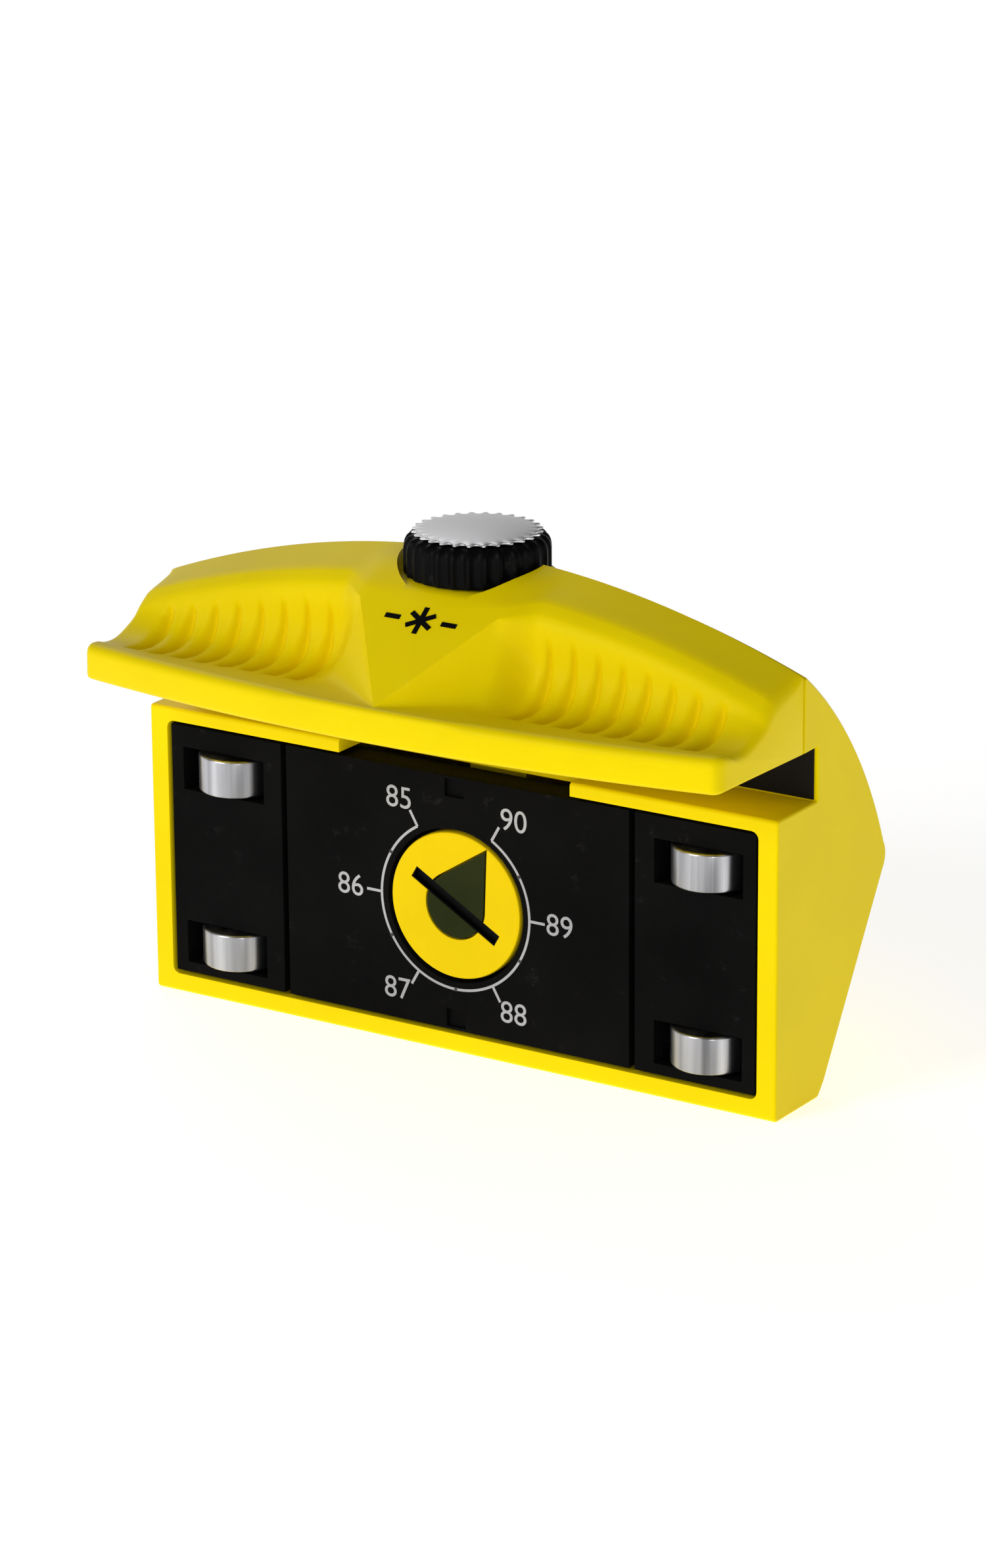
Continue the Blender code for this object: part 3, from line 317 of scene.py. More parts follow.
def stacked(levels):
    """A shell over (height, ring) levels of (x, depth) points."""
    return lofted(levels, lambda height, point: (*point, height))


def round_corners(outline, radii, steps=4):
    """An outline whose corners are drawn as arcs; a corner without a radius stays as it is."""
    rounded = []
    count = len(outline)
    for index, radius in enumerate(radii):
        corner = Vector(outline[index])
        if not radius:
            rounded.append(tuple(corner))
            continue
        before = (Vector(outline[index - 1]) - corner).normalized()
        after = (Vector(outline[(index + 1) % count]) - corner).normalized()
        half = before.angle(after) / 2
        reach = radius / math.tan(half)
        middle = corner + (before + after).normalized() * radius / math.sin(half)
        start = corner + before * reach - middle
        end = corner + after * reach - middle
        swing = start.angle(end)
        for step in range(steps + 1):
            share = step / steps
            mixed = start * math.sin((1 - share) * swing) + end * math.sin(share * swing)
            rounded.append(tuple(middle + mixed / math.sin(swing)))
    return rounded


def turning(outline):
    """For each point of an outline: its inward direction, how sharply it turns and the length around it."""
    count = len(outline)
    points = [Vector(point) for point in outline]
    area = sum(points[i - 1].x * points[i].y - points[i].x * points[i - 1].y for i in range(count))
    side = 1 if area > 0 else -1
    found = []
    for index, point in enumerate(points):
        before = point - points[index - 1]
        after = points[(index + 1) % count] - point
        along = after.normalized() + before.normalized()
        inward = Vector((-along.y, along.x)).normalized() * side
        turn = -side * before.angle_signed(after, 0)
        found.append((inward, turn, (before.length + after.length) / 2))
    return found


def rounding_room(outline, radius):
    """How far each point of an outline can be drawn in without folding the corners near it."""
    count = len(outline)
    turns = turning(outline)
    room = []
    for _, turn, length in turns:
        if turn > math.radians(25):
            room.append(0.12 * MM)
        elif turn > math.radians(2):
            room.append(min(radius, 0.75 * length / turn))
        else:
            room.append(radius)
    points = [Vector(point) for point in outline]
    for start, way in ((0, 1), (count - 1, -1)):
        for step in range(2 * count):
            here = (start + way * step) % count
            last = (here - way) % count
            apart = (points[here] - points[last]).length
            room[here] = min(room[here], room[last] + 0.5 * apart)
    return room


def drawn_in(outline, share, room):
    """An outline with each point moved inwards by a share of its room."""
    return [tuple(Vector(point) + inward * share * limit)
            for point, (inward, _, _), limit in zip(outline, turning(outline), room)]


def rounded_ends(stations, outline_at, half, radius, steps=6):
    """Sections over the stations between -half and half, with the two end edges rounded over."""
    inner = [x for x in stations if abs(x) < half - radius]
    sections = [(x, outline_at(x)) for x in inner]
    for step in range(steps + 1):
        angle = math.pi / 2 * step / steps
        x = half - radius + radius * math.sin(angle)
        outline = outline_at(x)
        ring = drawn_in(outline, 1 - math.cos(angle), rounding_room(outline, radius))
        sections.append((x, ring))
        sections.insert(0, (-x, ring))
    return sections


def carve(bm, tool, operation='DIFFERENCE'):
    """Cut one bmesh with another, or join them, and give back the result."""
    meshes = []
    objects = []
    for label, source in (("work", bm), ("tool", tool)):
        bmesh.ops.recalc_face_normals(source, faces=source.faces)
        mesh = bpy.data.meshes.new(label)
        source.to_mesh(mesh)
        source.free()
        meshes.append(mesh)
        objects.append(into_scene(label, mesh))
    modifier = objects[0].modifiers.new("carve", 'BOOLEAN')
    modifier.operation = operation
    modifier.solver = 'EXACT'
    modifier.object = objects[1]
    bpy.context.view_layer.update()
    result = bmesh.new()
    result.from_object(objects[0], bpy.context.evaluated_depsgraph_get())
    for thing in objects:
        bpy.data.objects.remove(thing)
    for mesh in meshes:
        bpy.data.meshes.remove(mesh)
    return result


def carve_all(bm, tools):
    """Cut one bmesh with several others in turn."""
    for tool in tools:
        bm = carve(bm, tool)
    return bm


def add_to(bm, extra):
    """Put the faces of one bmesh into another."""
    mesh = bpy.data.meshes.new("extra")
    extra.to_mesh(mesh)
    extra.free()
    bm.from_mesh(mesh)
    bpy.data.meshes.remove(mesh)
    return bm


def soften(bm, width, steps=2, above=40):
    """Round the edges of a shape that are sharper than an angle in degrees."""
    bmesh.ops.dissolve_limit(bm, angle_limit=math.radians(0.5), verts=bm.verts, edges=bm.edges)
    limit = math.radians(above)
    sharp = [edge for edge in bm.edges if edge.is_manifold and edge.calc_face_angle() > limit]
    bmesh.ops.bevel(bm, geom=sharp, offset=width, segments=steps, profile=0.5, affect='EDGES',
                    material=-1, clamp_overlap=True)
    return bm


def show(name, bm, finish, body, stands_for=(), in_place=False, flat=False):
    """Put a finished shape into the scene as a piece that rides on a body."""
    if not in_place:
        bmesh.ops.translate(bm, verts=bm.verts, vec=(0, FRONT, 0))
    mesh = bpy.data.meshes.new(name)
    bm.to_mesh(mesh)
    bm.free()
    mesh.materials.append(finish)
    mesh.shade_smooth()
    mesh.set_sharp_from_angle(angle=math.radians(35))
    if flat:
        for face in mesh.polygons:
            if max(abs(part) for part in face.normal) > 0.9999:
                face.use_smooth = False
    piece = into_scene(name, mesh)
    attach(piece, body)
    if stands_for:
        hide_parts(*stands_for)
    return piece


def even_shading(piece):
    """Let the large faces keep flat shading beside their rounded edges."""
    weighted = piece.modifiers.new("even_shading", 'WEIGHTED_NORMAL')
    weighted.keep_sharp = True
    weighted.weight = 80


def fine_copy(name, node, width, finish, body):
    """A CAD node's own shape with its edges rounded."""
    bm = bmesh.new()
    bm.from_mesh(frame["nodes"][node].data)
    bmesh.ops.remove_doubles(bm, verts=bm.verts, dist=0.001 * MM)
    soften(bm, width)
    show(name, bm, finish, body, [node], in_place=True, flat=True)


# --- Finishes ------------------------------------------------------------------

def noise(tree, vector, scale, detail, roughness=0.5):
    """An uneven pattern over a vector."""
    made = tree.nodes.new("ShaderNodeTexNoise")
    for socket, value in (("Scale", scale), ("Detail", detail), ("Roughness", roughness)):
        made.inputs[socket].default_value = value
    tree.links.new(vector, made.inputs["Vector"])
    return made.outputs["Fac"]


def spread(tree, value, low, high, start=0.0, end=1.0):
    """A value between start and end, mapped to the span from low to high."""
    made = tree.nodes.new("ShaderNodeMapRange")
    for socket, limit in (("From Min", start), ("From Max", end), ("To Min", low), ("To Max", high)):
        made.inputs[socket].default_value = limit
    tree.links.new(value, made.inputs["Value"])
    return made.outputs["Result"]


def worked_out(tree, operation, *terms):
    """The result of a sum or product of sockets and plain numbers."""
    made = tree.nodes.new("ShaderNodeMath")
    made.operation = operation
    for socket, term in zip(made.inputs, terms):
        if isinstance(term, float):
            socket.default_value = term
        else:
            tree.links.new(term, socket)
    return made.outputs["Value"]


def shaded(tree, pattern, colour, tint):
    """The colour, a little darker and lighter by the pattern."""
    ramp = tree.nodes.new("ShaderNodeValToRGB")
    dark, light = ramp.color_ramp.elements
    dark.position = 0.3
    dark.color = (*[part * (1 - tint) for part in colour], 1)
    light.position = 0.7
    light.color = (*[min(1.0, part * (1 + tint)) for part in colour], 1)
    tree.links.new(pattern, ramp.inputs["Fac"])
    return ramp.outputs["Color"]


def scuffed(tree, base, place, broad, wear, wear_colour):
    """The base colour with lightly rubbed patches over it."""
    scuffs = noise(tree, place, SCUFF_SCALE, 8, 0.75)
    patches = worked_out(tree, 'MULTIPLY', spread(tree, scuffs, 0.0, wear, *SCUFF_SPAN), broad)
    worn = tree.nodes.new("ShaderNodeMixRGB")
    worn.inputs["Color2"].default_value = (*wear_colour, 1)
    tree.links.new(patches, worn.inputs["Fac"])
    tree.links.new(base, worn.inputs["Color1"])
    return worn.outputs["Color"]


def finish(name, colour, roughness, metallic=0.0, shine=0.5, grain=0.25 * MM, grain_depth=0.01 * MM,
           stretch=(1, 1, 1), tint=0.06, rough_spread=0.08, wear=0.0, wear_colour=(1, 1, 1),
           gleam=(1, 1, 1), reflection_streaks=False):
    """A Principled finish with grain, uneven gloss, soft blotches and lightly rubbed patches; with
    reflection_streaks the colour carries long light and dark bands of painted reflection.
    """
    made = bpy.data.materials.new(name)
    made.use_nodes = True
    tree = made.node_tree
    shader = tree.nodes["Principled BSDF"]
    shader.inputs["Metallic"].default_value = metallic
    shader.inputs["Specular IOR Level"].default_value = shine
    shader.inputs["Specular Tint"].default_value = (*gleam, 1)
    place = tree.nodes.new("ShaderNodeTexCoord").outputs["Object"]
    mapping = tree.nodes.new("ShaderNodeMapping")
    mapping.inputs["Scale"].default_value = stretch
    tree.links.new(place, mapping.inputs["Vector"])
    fine = noise(tree, mapping.outputs["Vector"], 1 / grain, 3)
    broad = noise(tree, place, BLOTCH_SCALE, 5)
    # With reflection_streaks the colour follows the stretched fine pattern: painted reflection bands.
    base = shaded(tree, fine if reflection_streaks else broad, colour, tint)
    if wear:
        base = scuffed(tree, base, place, broad, wear, wear_colour)
    tree.links.new(base, shader.inputs["Base Color"])
    uneven = worked_out(tree, 'MULTIPLY_ADD', fine, 0.5, worked_out(tree, 'MULTIPLY', broad, 0.5))
    gloss = spread(tree, uneven, max(0.02, roughness - rough_spread), roughness + rough_spread)
    tree.links.new(gloss, shader.inputs["Roughness"])
    bump = tree.nodes.new("ShaderNodeBump")
    bump.inputs["Distance"].default_value = grain_depth
    bump.inputs["Strength"].default_value = 0.6
    tree.links.new(fine, bump.inputs["Height"])
    tree.links.new(bump.outputs["Normal"], shader.inputs["Normal"])
    return made


YELLOW = finish("yellow_moulded_plastic", (0.87, 0.67, 0.0), 0.42, shine=0.16, grain=0.35 * MM,
                grain_depth=0.012 * MM, tint=0.03, wear=0.45, wear_colour=(0.92, 0.74, 0.03),
                gleam=(1, 0.85, 0.2))
DIAL_YELLOW = finish("yellow_dial_plastic", (0.80, 0.57, 0.001), 0.4, shine=0.16, grain=0.3 * MM, tint=0.04,
                     wear=0.4, wear_colour=(0.92, 0.74, 0.03), gleam=(1, 0.85, 0.2))
BLACK = finish("black_grained_plastic", (0.0038, 0.0038, 0.0038), 0.5, shine=0.02, grain=0.22 * MM,
               grain_depth=0.02 * MM, stretch=(0.12, 1, 1), tint=0.3, wear=0.4,
               wear_colour=(0.06, 0.06, 0.06))
KNOB_BLACK = finish("black_knob_plastic", (0.0018, 0.0018, 0.0022), 0.42, shine=0.06, grain=0.3 * MM,
                    tint=0.25, wear=0.5, wear_colour=(0.07, 0.07, 0.07))
UMBER = finish("umber_pointer_plastic", (0.020, 0.026, 0.005), 0.5, shine=0.05, grain=0.25 * MM, tint=0.2,
               wear=0.3, wear_colour=(0.08, 0.08, 0.04))
SILVER = finish("satin_aluminium", (0.62, 0.62, 0.63), 0.34, 1.0, grain=0.2 * MM,
                grain_depth=0.008 * MM, stretch=(0.08, 1, 1), tint=0.04, rough_spread=0.1)
# The rollers' colour has long light and dark bands along their axis, painted reflection of bright and dark
# surroundings.
ROLLER_STEEL = finish("ground_roller_steel_painted_reflection", (0.40, 0.40, 0.42), 0.3, 1.0, grain=2.4 * MM,
                      grain_depth=0.02 * MM, stretch=(1, 1, 0.03), tint=0.55, reflection_streaks=True)
PLATED = finish("plated_steel", (0.62, 0.62, 0.64), 0.28, 1.0, grain=0.2 * MM, tint=0.1)
SPRING = finish("spring_steel", (0.38, 0.37, 0.36), 0.34, 1.0, grain=0.2 * MM, tint=0.15)
BRASS = finish("turned_brass", (0.72, 0.47, 0.16), 0.3, 1.0, grain=0.2 * MM, stretch=(0.1, 0.1, 1), tint=0.1)
RUBBER = finish("pad_rubber", (0.010, 0.009, 0.008), 0.85, shine=0.1, grain=0.4 * MM, grain_depth=0.03 * MM,
                tint=0.2)
ACETAL = finish("white_acetal", (0.78, 0.77, 0.72), 0.4, grain=0.4 * MM, tint=0.03)
INK = finish("scale_ink", (0.40, 0.40, 0.42), 0.6, shine=0.2, grain=0.18 * MM, tint=0.18)
FAINT_INK = finish("dark_scale_ink", (0.03, 0.03, 0.032), 0.55, grain=0.18 * MM, tint=0.2)


# --- Housing -------------------------------------------------------------------

def ridge(x):
    """Height of the ridge at a place along the housing."""
    return RIDGE_HEIGHT - x ** 2 / (2 * RIDGE_RADIUS)


def back_line(height):
    """Depth of the slanted lower back at a height."""
    share = (height - BASE_CHAMFER) / (NOSE_LOW - BASE_CHAMFER)
    start = BASE_DEPTH + BASE_CHAMFER * 0.85
    return start + share * (BACK_DEPTH - NOSE_RADIUS * 0.22 - start)


def arc_points(start, end, bulge, count):
    """Points on the arc between two points whose middle stands out by bulge."""
    start = Vector(start)
    end = Vector(end)
    chord = end - start
    half = chord.length / 2
    radius = (half ** 2 + bulge ** 2) / (2 * bulge)
    across = Vector((chord.y, -chord.x)).normalized()
    centre = (start + end) / 2 - across * (radius - bulge)
    spread = math.asin(half / radius)
    along = chord.normalized()
    angles = [spread * (2 * index / (count - 1) - 1) for index in range(count)]
    return [tuple(centre + radius * (math.cos(a) * across + math.sin(a) * along)) for a in angles]


def housing_outline(x):
    """End view of the housing at one place along it, with the file slot in it."""
    rear = PARTING + SEAM
    end_height = RIDGE_HEIGHT - HALF_LENGTH ** 2 / (2 * RIDGE_RADIUS)
    nose = arc_points((back_line(NOSE_LOW), NOSE_LOW), (BACK_DEPTH - NOSE_RADIUS * 0.17, NOSE_TOP),
                      NOSE_RADIUS * 0.2, 9)
    upper = arc_points(nose[-1], (rear, end_height), BACK_BULGE, 21)
    stretch = (ridge(x) - NOSE_TOP) / (end_height - NOSE_TOP)
    raised = [(y, NOSE_TOP + (z - NOSE_TOP) * stretch) for y, z in upper[1:]]
    corners = [(0, 0), (BASE_DEPTH, 0), (back_line(BASE_CHAMFER), BASE_CHAMFER)]
    slot = [(rear, SLOT_ROOF), (SLOT_DEPTH, SLOT_ROOF), (SLOT_DEPTH, SLOT_FLOOR), (0, SLOT_FLOOR)]
    outline = corners + nose + raised + slot
    radii = [0.7 * MM, 1.0 * MM, 1.0 * MM] + [0] * (len(nose) + len(raised) - 1) + [0.5 * MM]
    radii += [0, 0, 0.4 * MM, 0.6 * MM]
    return round_corners(outline, radii)


def clamp_space():
    """The room for shoe, stud, collar and knob that the two shells share."""
    rooms = [box((-SHOE_ROOM_HALF, SHOE_ROOM_FRONT, SLOT_ROOF - 2 * MM),
                 (SHOE_ROOM_HALF, SHOE_ROOM_BACK, SHOE_ROOM_TOP))]
    for low, high, radius in CLAMP_BORES:
        rooms.append(rod((0, PARTING, low * MM), (high - low) * MM, radius * MM, 'Z', 48))
    rooms.append(rod((0, PARTING, LANDING), KNOB_TOP - LANDING, LANDING_RADIUS, 'Z', 96))
    return rooms


def slot_strip():
    """A dark strip on the back wall of the file slot, painted shade that stands in for the shade falling
    there.
    """
    strip = box((-HALF_LENGTH + 0.6 * MM, SLOT_DEPTH - 0.22 * MM, SLOT_FLOOR + 0.15 * MM),
                (HALF_LENGTH - 0.6 * MM, SLOT_DEPTH - 0.02 * MM, SLOT_ROOF - 0.1 * MM))
    soften(strip, 0.06 * MM, 2)
    # Painted shade: a dark rubber strip put where the slot's back wall lies in shade.
    show("slot_painted_shade_strip", strip, RUBBER, "housing")


def turret():
    """The rear half of the round seat under the knob."""
    foot = LANDING - TURRET_DEPTH
    post = rod((0, PARTING, foot), LANDING - foot, LANDING_RADIUS, 'Z', 96)
    front_half = box((-20 * MM, -8 * MM, foot - MM), (20 * MM, PARTING + SEAM, KNOB_TOP))
    return carve(post, front_half)


def plate_cavity():
    """The opening in the front that the plate sits in."""
    corners = [(-OPENING_HALF, OPENING_LOW), (OPENING_HALF, OPENING_LOW), (OPENING_HALF, OPENING_TOP),
               (-OPENING_HALF, OPENING_TOP)]
    return prism(round_corners(corners, [CAVITY_CORNER] * 4), 'Y', -2 * MM, CAVITY_DEPTH)


def back_hollows():
    """The two hollows behind the plate, either side of the middle rib."""
    inset = SHELL_WALL * 1.18
    hollow = [(CAVITY_DEPTH - 0.3 * MM, OPENING_LOW + 2 * MM), (CAVITY_DEPTH + MM, OPENING_LOW + 2 * MM),
              (back_line(NOSE_HEIGHT) - inset - 1.2 * MM, NOSE_HEIGHT - 2 * MM),
              (BACK_DEPTH - 1.8 * SHELL_WALL, NOSE_HEIGHT + 2 * MM),
              (BACK_DEPTH - 3.6 * SHELL_WALL, OPENING_TOP), (CAVITY_DEPTH - 0.3 * MM, OPENING_TOP)]
    return [prism(hollow, 'X', *sorted((sign * RIB_HALF, sign * (OPENING_HALF - SHELL_WALL))))
            for sign in (-1, 1)]


def housing_holes():
    """The screw wells, the anvil's hole and the hinge pins' holes."""
    holes = bmesh.new()
    for x in SHELL_SCREWS:
        well = [(0, 5 * MM), (SCREW_HOLE, 5 * MM), (SCREW_HOLE, HEAD_SEAT), (HEAD_WELL, HEAD_SEAT),
                (HEAD_WELL, 40 * MM), (0, 40 * MM)]
        add_to(holes, turned(well, (x, 0, SHELL_SCREW_HEIGHT), 'Y', 48))
    rod((0, CAVITY_DEPTH - 2 * MM, ANVIL_HEIGHT), 5.3 * MM, ANVIL_HOLE, 'Y', 32, holes)
    for start in (-OPENING_HALF - 2.5 * MM, OPENING_HALF - 2 * MM):
        rod((start, HINGE_DEPTH, HINGE_HEIGHT), HINGE_HOLE_LENGTH, HINGE_HOLE, 'X', 24, holes)
    return holes


def housing_shell():
    count = 36
    stations = [HALF_LENGTH * (2 * index / count - 1) for index in range(count + 1)]
    body = skin(rounded_ends(stations, housing_outline, HALF_LENGTH, HOUSING_EDGE))
    body = carve(body, turret(), 'UNION')
    notch = box((-NOTCH_HALF, -2 * MM, OPENING_TOP - 2 * MM), (NOTCH_HALF, NOTCH_DEPTH, SLOT_FLOOR + 2 * MM))
    body = carve_all(body, [plate_cavity(), notch, *back_hollows(), *clamp_space(), housing_holes()])
    soften(body, 0.3 * MM, 2, 50)
    even_shading(show("housing_shell", body, YELLOW, "housing", ["rear_body"]))


# --- Handle --------------------------------------------------------------------

def blend(first, second, share):
    """A point part of the way from the first to the second."""
    return tuple(a + (b - a) * share for a, b in zip(first, second))


def ease(value, start, end):
    """A smooth step from 0 at start to 1 at end."""
    share = min(1.0, max(0.0, (value - start) / (end - start)))
    return share * share * (3 - 2 * share)


def flowing(points, steps, creases):
    """A smooth line through points, with creases of some sharpness at the points named."""
    points = [Vector(point) for point in points]
    chords = [b - a for a, b in zip(points, points[1:])]
    lengths = [max(chord.length, 1e-9) for chord in chords]
    headings = [chord / length for chord, length in zip(chords, lengths)]
    line = []
    for index, count in enumerate(steps):
        ends = []
        for joint, other in ((index, index - 1), (index + 1, index + 1)):
            if other < 0 or other >= len(headings):
                ends.append(headings[index])
                continue
            own, far = lengths[index], lengths[other]
            shared = (headings[index] * far + headings[other] * own) / (own + far)
            shared = shared.lerp(headings[index], creases.get(joint, 0.0))
            ends.append(shared)
        for step in range(count):
            t = step / count
            start_part = 2 * t ** 3 - 3 * t ** 2 + 1
            end_part = -2 * t ** 3 + 3 * t ** 2
            leave = (t ** 3 - 2 * t ** 2 + t) * lengths[index]
            arrive = (t ** 3 - t ** 2) * lengths[index]
            line.append(points[index] * start_part + points[index + 1] * end_part
                        + ends[0] * leave + ends[1] * arrive)
    line.append(points[-1])
    return line


def wing_edge(size):
    """Depth of the wing's front edge, with its rounded corner."""
    past = max(0.0, size - (HALF_LENGTH - WING_CORNER))
    corner = WING_CORNER - math.sqrt(max(0.0, WING_CORNER ** 2 - past ** 2))
    return -WING_REACH + size ** 2 / WING_BOW + corner


def wing_round(size):
    """Radius along the wing's upper front edge, softer away from the prow."""
    return (0.95 + 0.6 * ease(size, PROW_HALF, SCOOP_START)) * MM


def lip_height(size):
    """Height of the scoop's upper lip."""
    past = max(0.0, (size - HALF_LENGTH + END_ROUND) / END_ROUND)
    return ridge(size) - 2.4 * MM * (1.2 - 0.4 * size / HALF_LENGTH) - 0.7 * MM * past ** 2


def scoop_line(size):
    """Guide points of the scoop: shelf, trough, wall, lip and the band up to the ridge."""
    lip = lip_height(size)
    edge = wing_edge(size)
    lip_point = (-1.0 * MM, lip + 0.05 * MM)
    wall = lip - WING_TOP
    crown = (PARTING - SEAM - CREST_GAP, ridge(size))
    return [(edge + wing_round(size), WING_TOP), (edge + 2.6 * MM, WING_TOP - 0.05 * MM),
            (max(-12.4 * MM, edge + 4.0 * MM), WING_TOP - 0.5 * MM),
            (max(-9.3 * MM, edge + 5.6 * MM), WING_TOP - 0.6 * MM),
            (-6.0 * MM, WING_TOP + 0.5 * MM), (-4.0 * MM, WING_TOP + min(3.4 * MM, 0.4 * wall)),
            (-2.75 * MM, lip - min(1.5 * MM, 0.3 * wall)), lip_point,
            blend(lip_point, crown, 0.5), crown]


def prow_line(size):
    """Guide points beside and over the prow, whose creases climb from its foot to the scoops."""
    share = size / PROW_HALF
    foot = Vector((-WING_REACH + PROW_SETBACK, WING_TOP))
    crease = foot + Vector((PROW_RUN, PROW_RISE)) * share
    start = Vector((foot.x - 0.5 * MM, WING_TOP))
    climb = [(0.3, 0.0), (0.55, 0.05), (0.72, 0.22), (0.86, 0.5), (0.95, 0.76)]
    side = [(start.x + (crease.x - start.x) * run, start.y + (crease.y - start.y) * rise)
            for run, rise in climb]
    top = foot + Vector((PROW_RUN, PROW_RISE)) * 1.12
    crown = (PARTING - SEAM - CREST_GAP, ridge(size))
    over = [tuple(crease), tuple(top), (1.3 * MM, ridge(size) - 1.15 * MM), crown]
    return [(wing_edge(size) + wing_round(size), WING_TOP)] + side + over


def groove_at(x, width):
    """How much of the full groove depth there is at a place along the handle."""
    size = abs(x)
    depth = 0.0
    for index in range(GROOVE_COUNT):
        distance = (size - GROOVE_FIRST - index * GROOVE_PITCH) / width
        depth = max(depth, math.exp(-distance ** 2))
    return depth


def groove_top(size):
    """Height at which the grooves fade out."""
    return 68.5 * MM - 0.19 * (size - 23 * MM) - 1.2 * MM * (1 - ease(size, 18 * MM, 22 * MM))


def grooved(line, x):
    """The upper line of the handle with the finger grooves pressed into it."""
    if groove_at(x, GROOVE_FOOT_WIDTH) < 0.01:
        return line
    top = groove_top(abs(x))
    pressed = []
    for index, point in enumerate(line):
        before = line[max(0, index - 1)]
        after = line[min(len(line) - 1, index + 1)]
        along = (after - before).normalized()
        inward = Vector((along.y, -along.x))
        fade = 1 - ease(point.y, top - 1.6 * MM, top + 0.4 * MM)
        fade *= ease(point.x, GROOVE_FOOT - 0.5 * MM, GROOVE_FOOT + 0.5 * MM)
        low = ease(-point.y, -66 * MM, -60 * MM)
        share = groove_at(x, GROOVE_WIDTH + (GROOVE_FOOT_WIDTH - GROOVE_WIDTH) * low)
        pressed.append(point + inward * GROOVE_DEPTH * share * fade * (0.6 + 0.55 * low))
    return pressed


def handle_outline(x):
    """End view of the handle shell at one place along it."""
    size = abs(x)
    if size <= PROW_HALF:
        guide, creases = prow_line(size), PROW_CREASES
    elif size >= SCOOP_START:
        guide, creases = scoop_line(size), SCOOP_CREASES
    else:
        share = ease(size, PROW_HALF, SCOOP_START)
        linear = (size - PROW_HALF) / (SCOOP_START - PROW_HALF)
        mixed = 0.5 * (share + linear)
        guide = [blend(a, b, mixed) for a, b in zip(prow_line(PROW_HALF), scoop_line(SCOOP_START))]
        guide[-1] = scoop_line(size)[-1]
        guide[0] = (wing_edge(size) + wing_round(size), WING_TOP)
        creases = {index: PROW_CREASES[index] * (1 - mixed) + SCOOP_CREASES[index] * mixed
                   for index in PROW_CREASES}
    upper = grooved(flowing(guide, LINE_STEPS, creases), x)
    edge = wing_edge(size)
    face = PARTING - SEAM
    lower = round_corners([(edge + wing_round(size), WING_TOP), (edge, WING_TOP), (edge, SLOT_ROOF),
                           (face, SLOT_ROOF)], [0, wing_round(size) - 0.02 * MM, 0.8 * MM, 0], 5)
    rim = [(face, ridge(x) - CREST_GAP)]
    return rim + [tuple(point) for point in reversed(upper)] + lower[1:]


def handle_stations():
    """Places along half the handle, closer together where the grooves are."""
    stations = [PROW_HALF * index / 16 for index in range(17)]
    stations += [PROW_HALF + (SCOOP_START - PROW_HALF) * index / 8 for index in range(1, 9)]
    offsets = (-1.55, -1.15, -0.85, -0.6, -0.4, -0.2, 0, 0.2, 0.4, 0.6, 0.85, 1.15, 1.55, 2.1)
    for index in range(GROOVE_COUNT):
        centre = GROOVE_FIRST + index * GROOVE_PITCH
        stations += [centre + offset * MM for offset in offsets]
    last = stations[-1]
    corner = HALF_LENGTH - WING_CORNER
    stations += [last + (corner - last) * index / 6 for index in range(1, 6)]
    stations += [corner + WING_CORNER * math.sin(math.pi / 20 * index) for index in range(8)]
    return stations


def handle_grip():
    half = handle_stations()
    stations = [-x for x in reversed(half) if x > 0] + half
    body = skin(rounded_ends(stations, handle_outline, HALF_LENGTH, HANDLE_END_ROUND))
    holes = bmesh.new()
    for x in GUIDE_PINS:
        rod((x, GUIDE_PIN_DEPTH, GUIDE_PIN_LOW), 8.5 * MM, GUIDE_PIN_HOLE, 'Z', 24, holes)
    for x in SHELL_SCREWS:
        rod((x, 0.05 * MM, SHELL_SCREW_HEIGHT), 9 * MM, SCREW_HOLE, 'Y', 24, holes)
    body = carve_all(body, [*clamp_space(), holes])
    show("handle_grip", body, YELLOW, "housing", ["front_handle"])


def star_outline(arms, reach, stroke):
    """Outline of a crystal with bar-shaped arms."""
    notch = stroke / 2 / math.sin(math.pi / arms)
    outline = []
    for arm in range(arms):
        angle = math.tau * (arm + 0.5) / arms
        along = Vector((math.cos(angle), math.sin(angle)))
        aside = Vector((-along.y, along.x)) * stroke / 2
        outline += [tuple(along * reach - aside), tuple(along * reach + aside)]
        between = angle + math.pi / arms
        outline.append((notch * math.cos(between), notch * math.sin(between)))
    return outline


def prow_emblem():
    """A plain snow crystal between two short bars, laid on the prow's facet."""
    slope = Vector((0, PROW_RUN, PROW_RISE)).normalized()
    out = Vector((0, -PROW_RISE, PROW_RUN)).normalized()
    foot = Vector((0, -WING_REACH + PROW_SETBACK, WING_TOP))
    centre = foot + Vector((0, PROW_RUN, PROW_RISE)) * EMBLEM_PLACE
    bm = prism(star_outline(6, EMBLEM_SIZE / 2, EMBLEM_STROKE), 'Z', -EMBLEM_SINK, EMBLEM_RISE)
    for middle in (-EMBLEM_BAR_PLACE, EMBLEM_BAR_PLACE):
        box((middle - EMBLEM_BAR_HALF, -EMBLEM_STROKE / 2, -EMBLEM_SINK),
            (middle + EMBLEM_BAR_HALF, EMBLEM_STROKE / 2, EMBLEM_RISE), bm)
    axes = Matrix((Vector((1, 0, 0)), slope, out)).transposed().to_4x4()
    bmesh.ops.transform(bm, verts=bm.verts, matrix=Matrix.Translation(centre) @ axes)
    show("prow_emblem", bm, KNOB_BLACK, "housing")


# --- Knob ----------------------------------------------------------------------

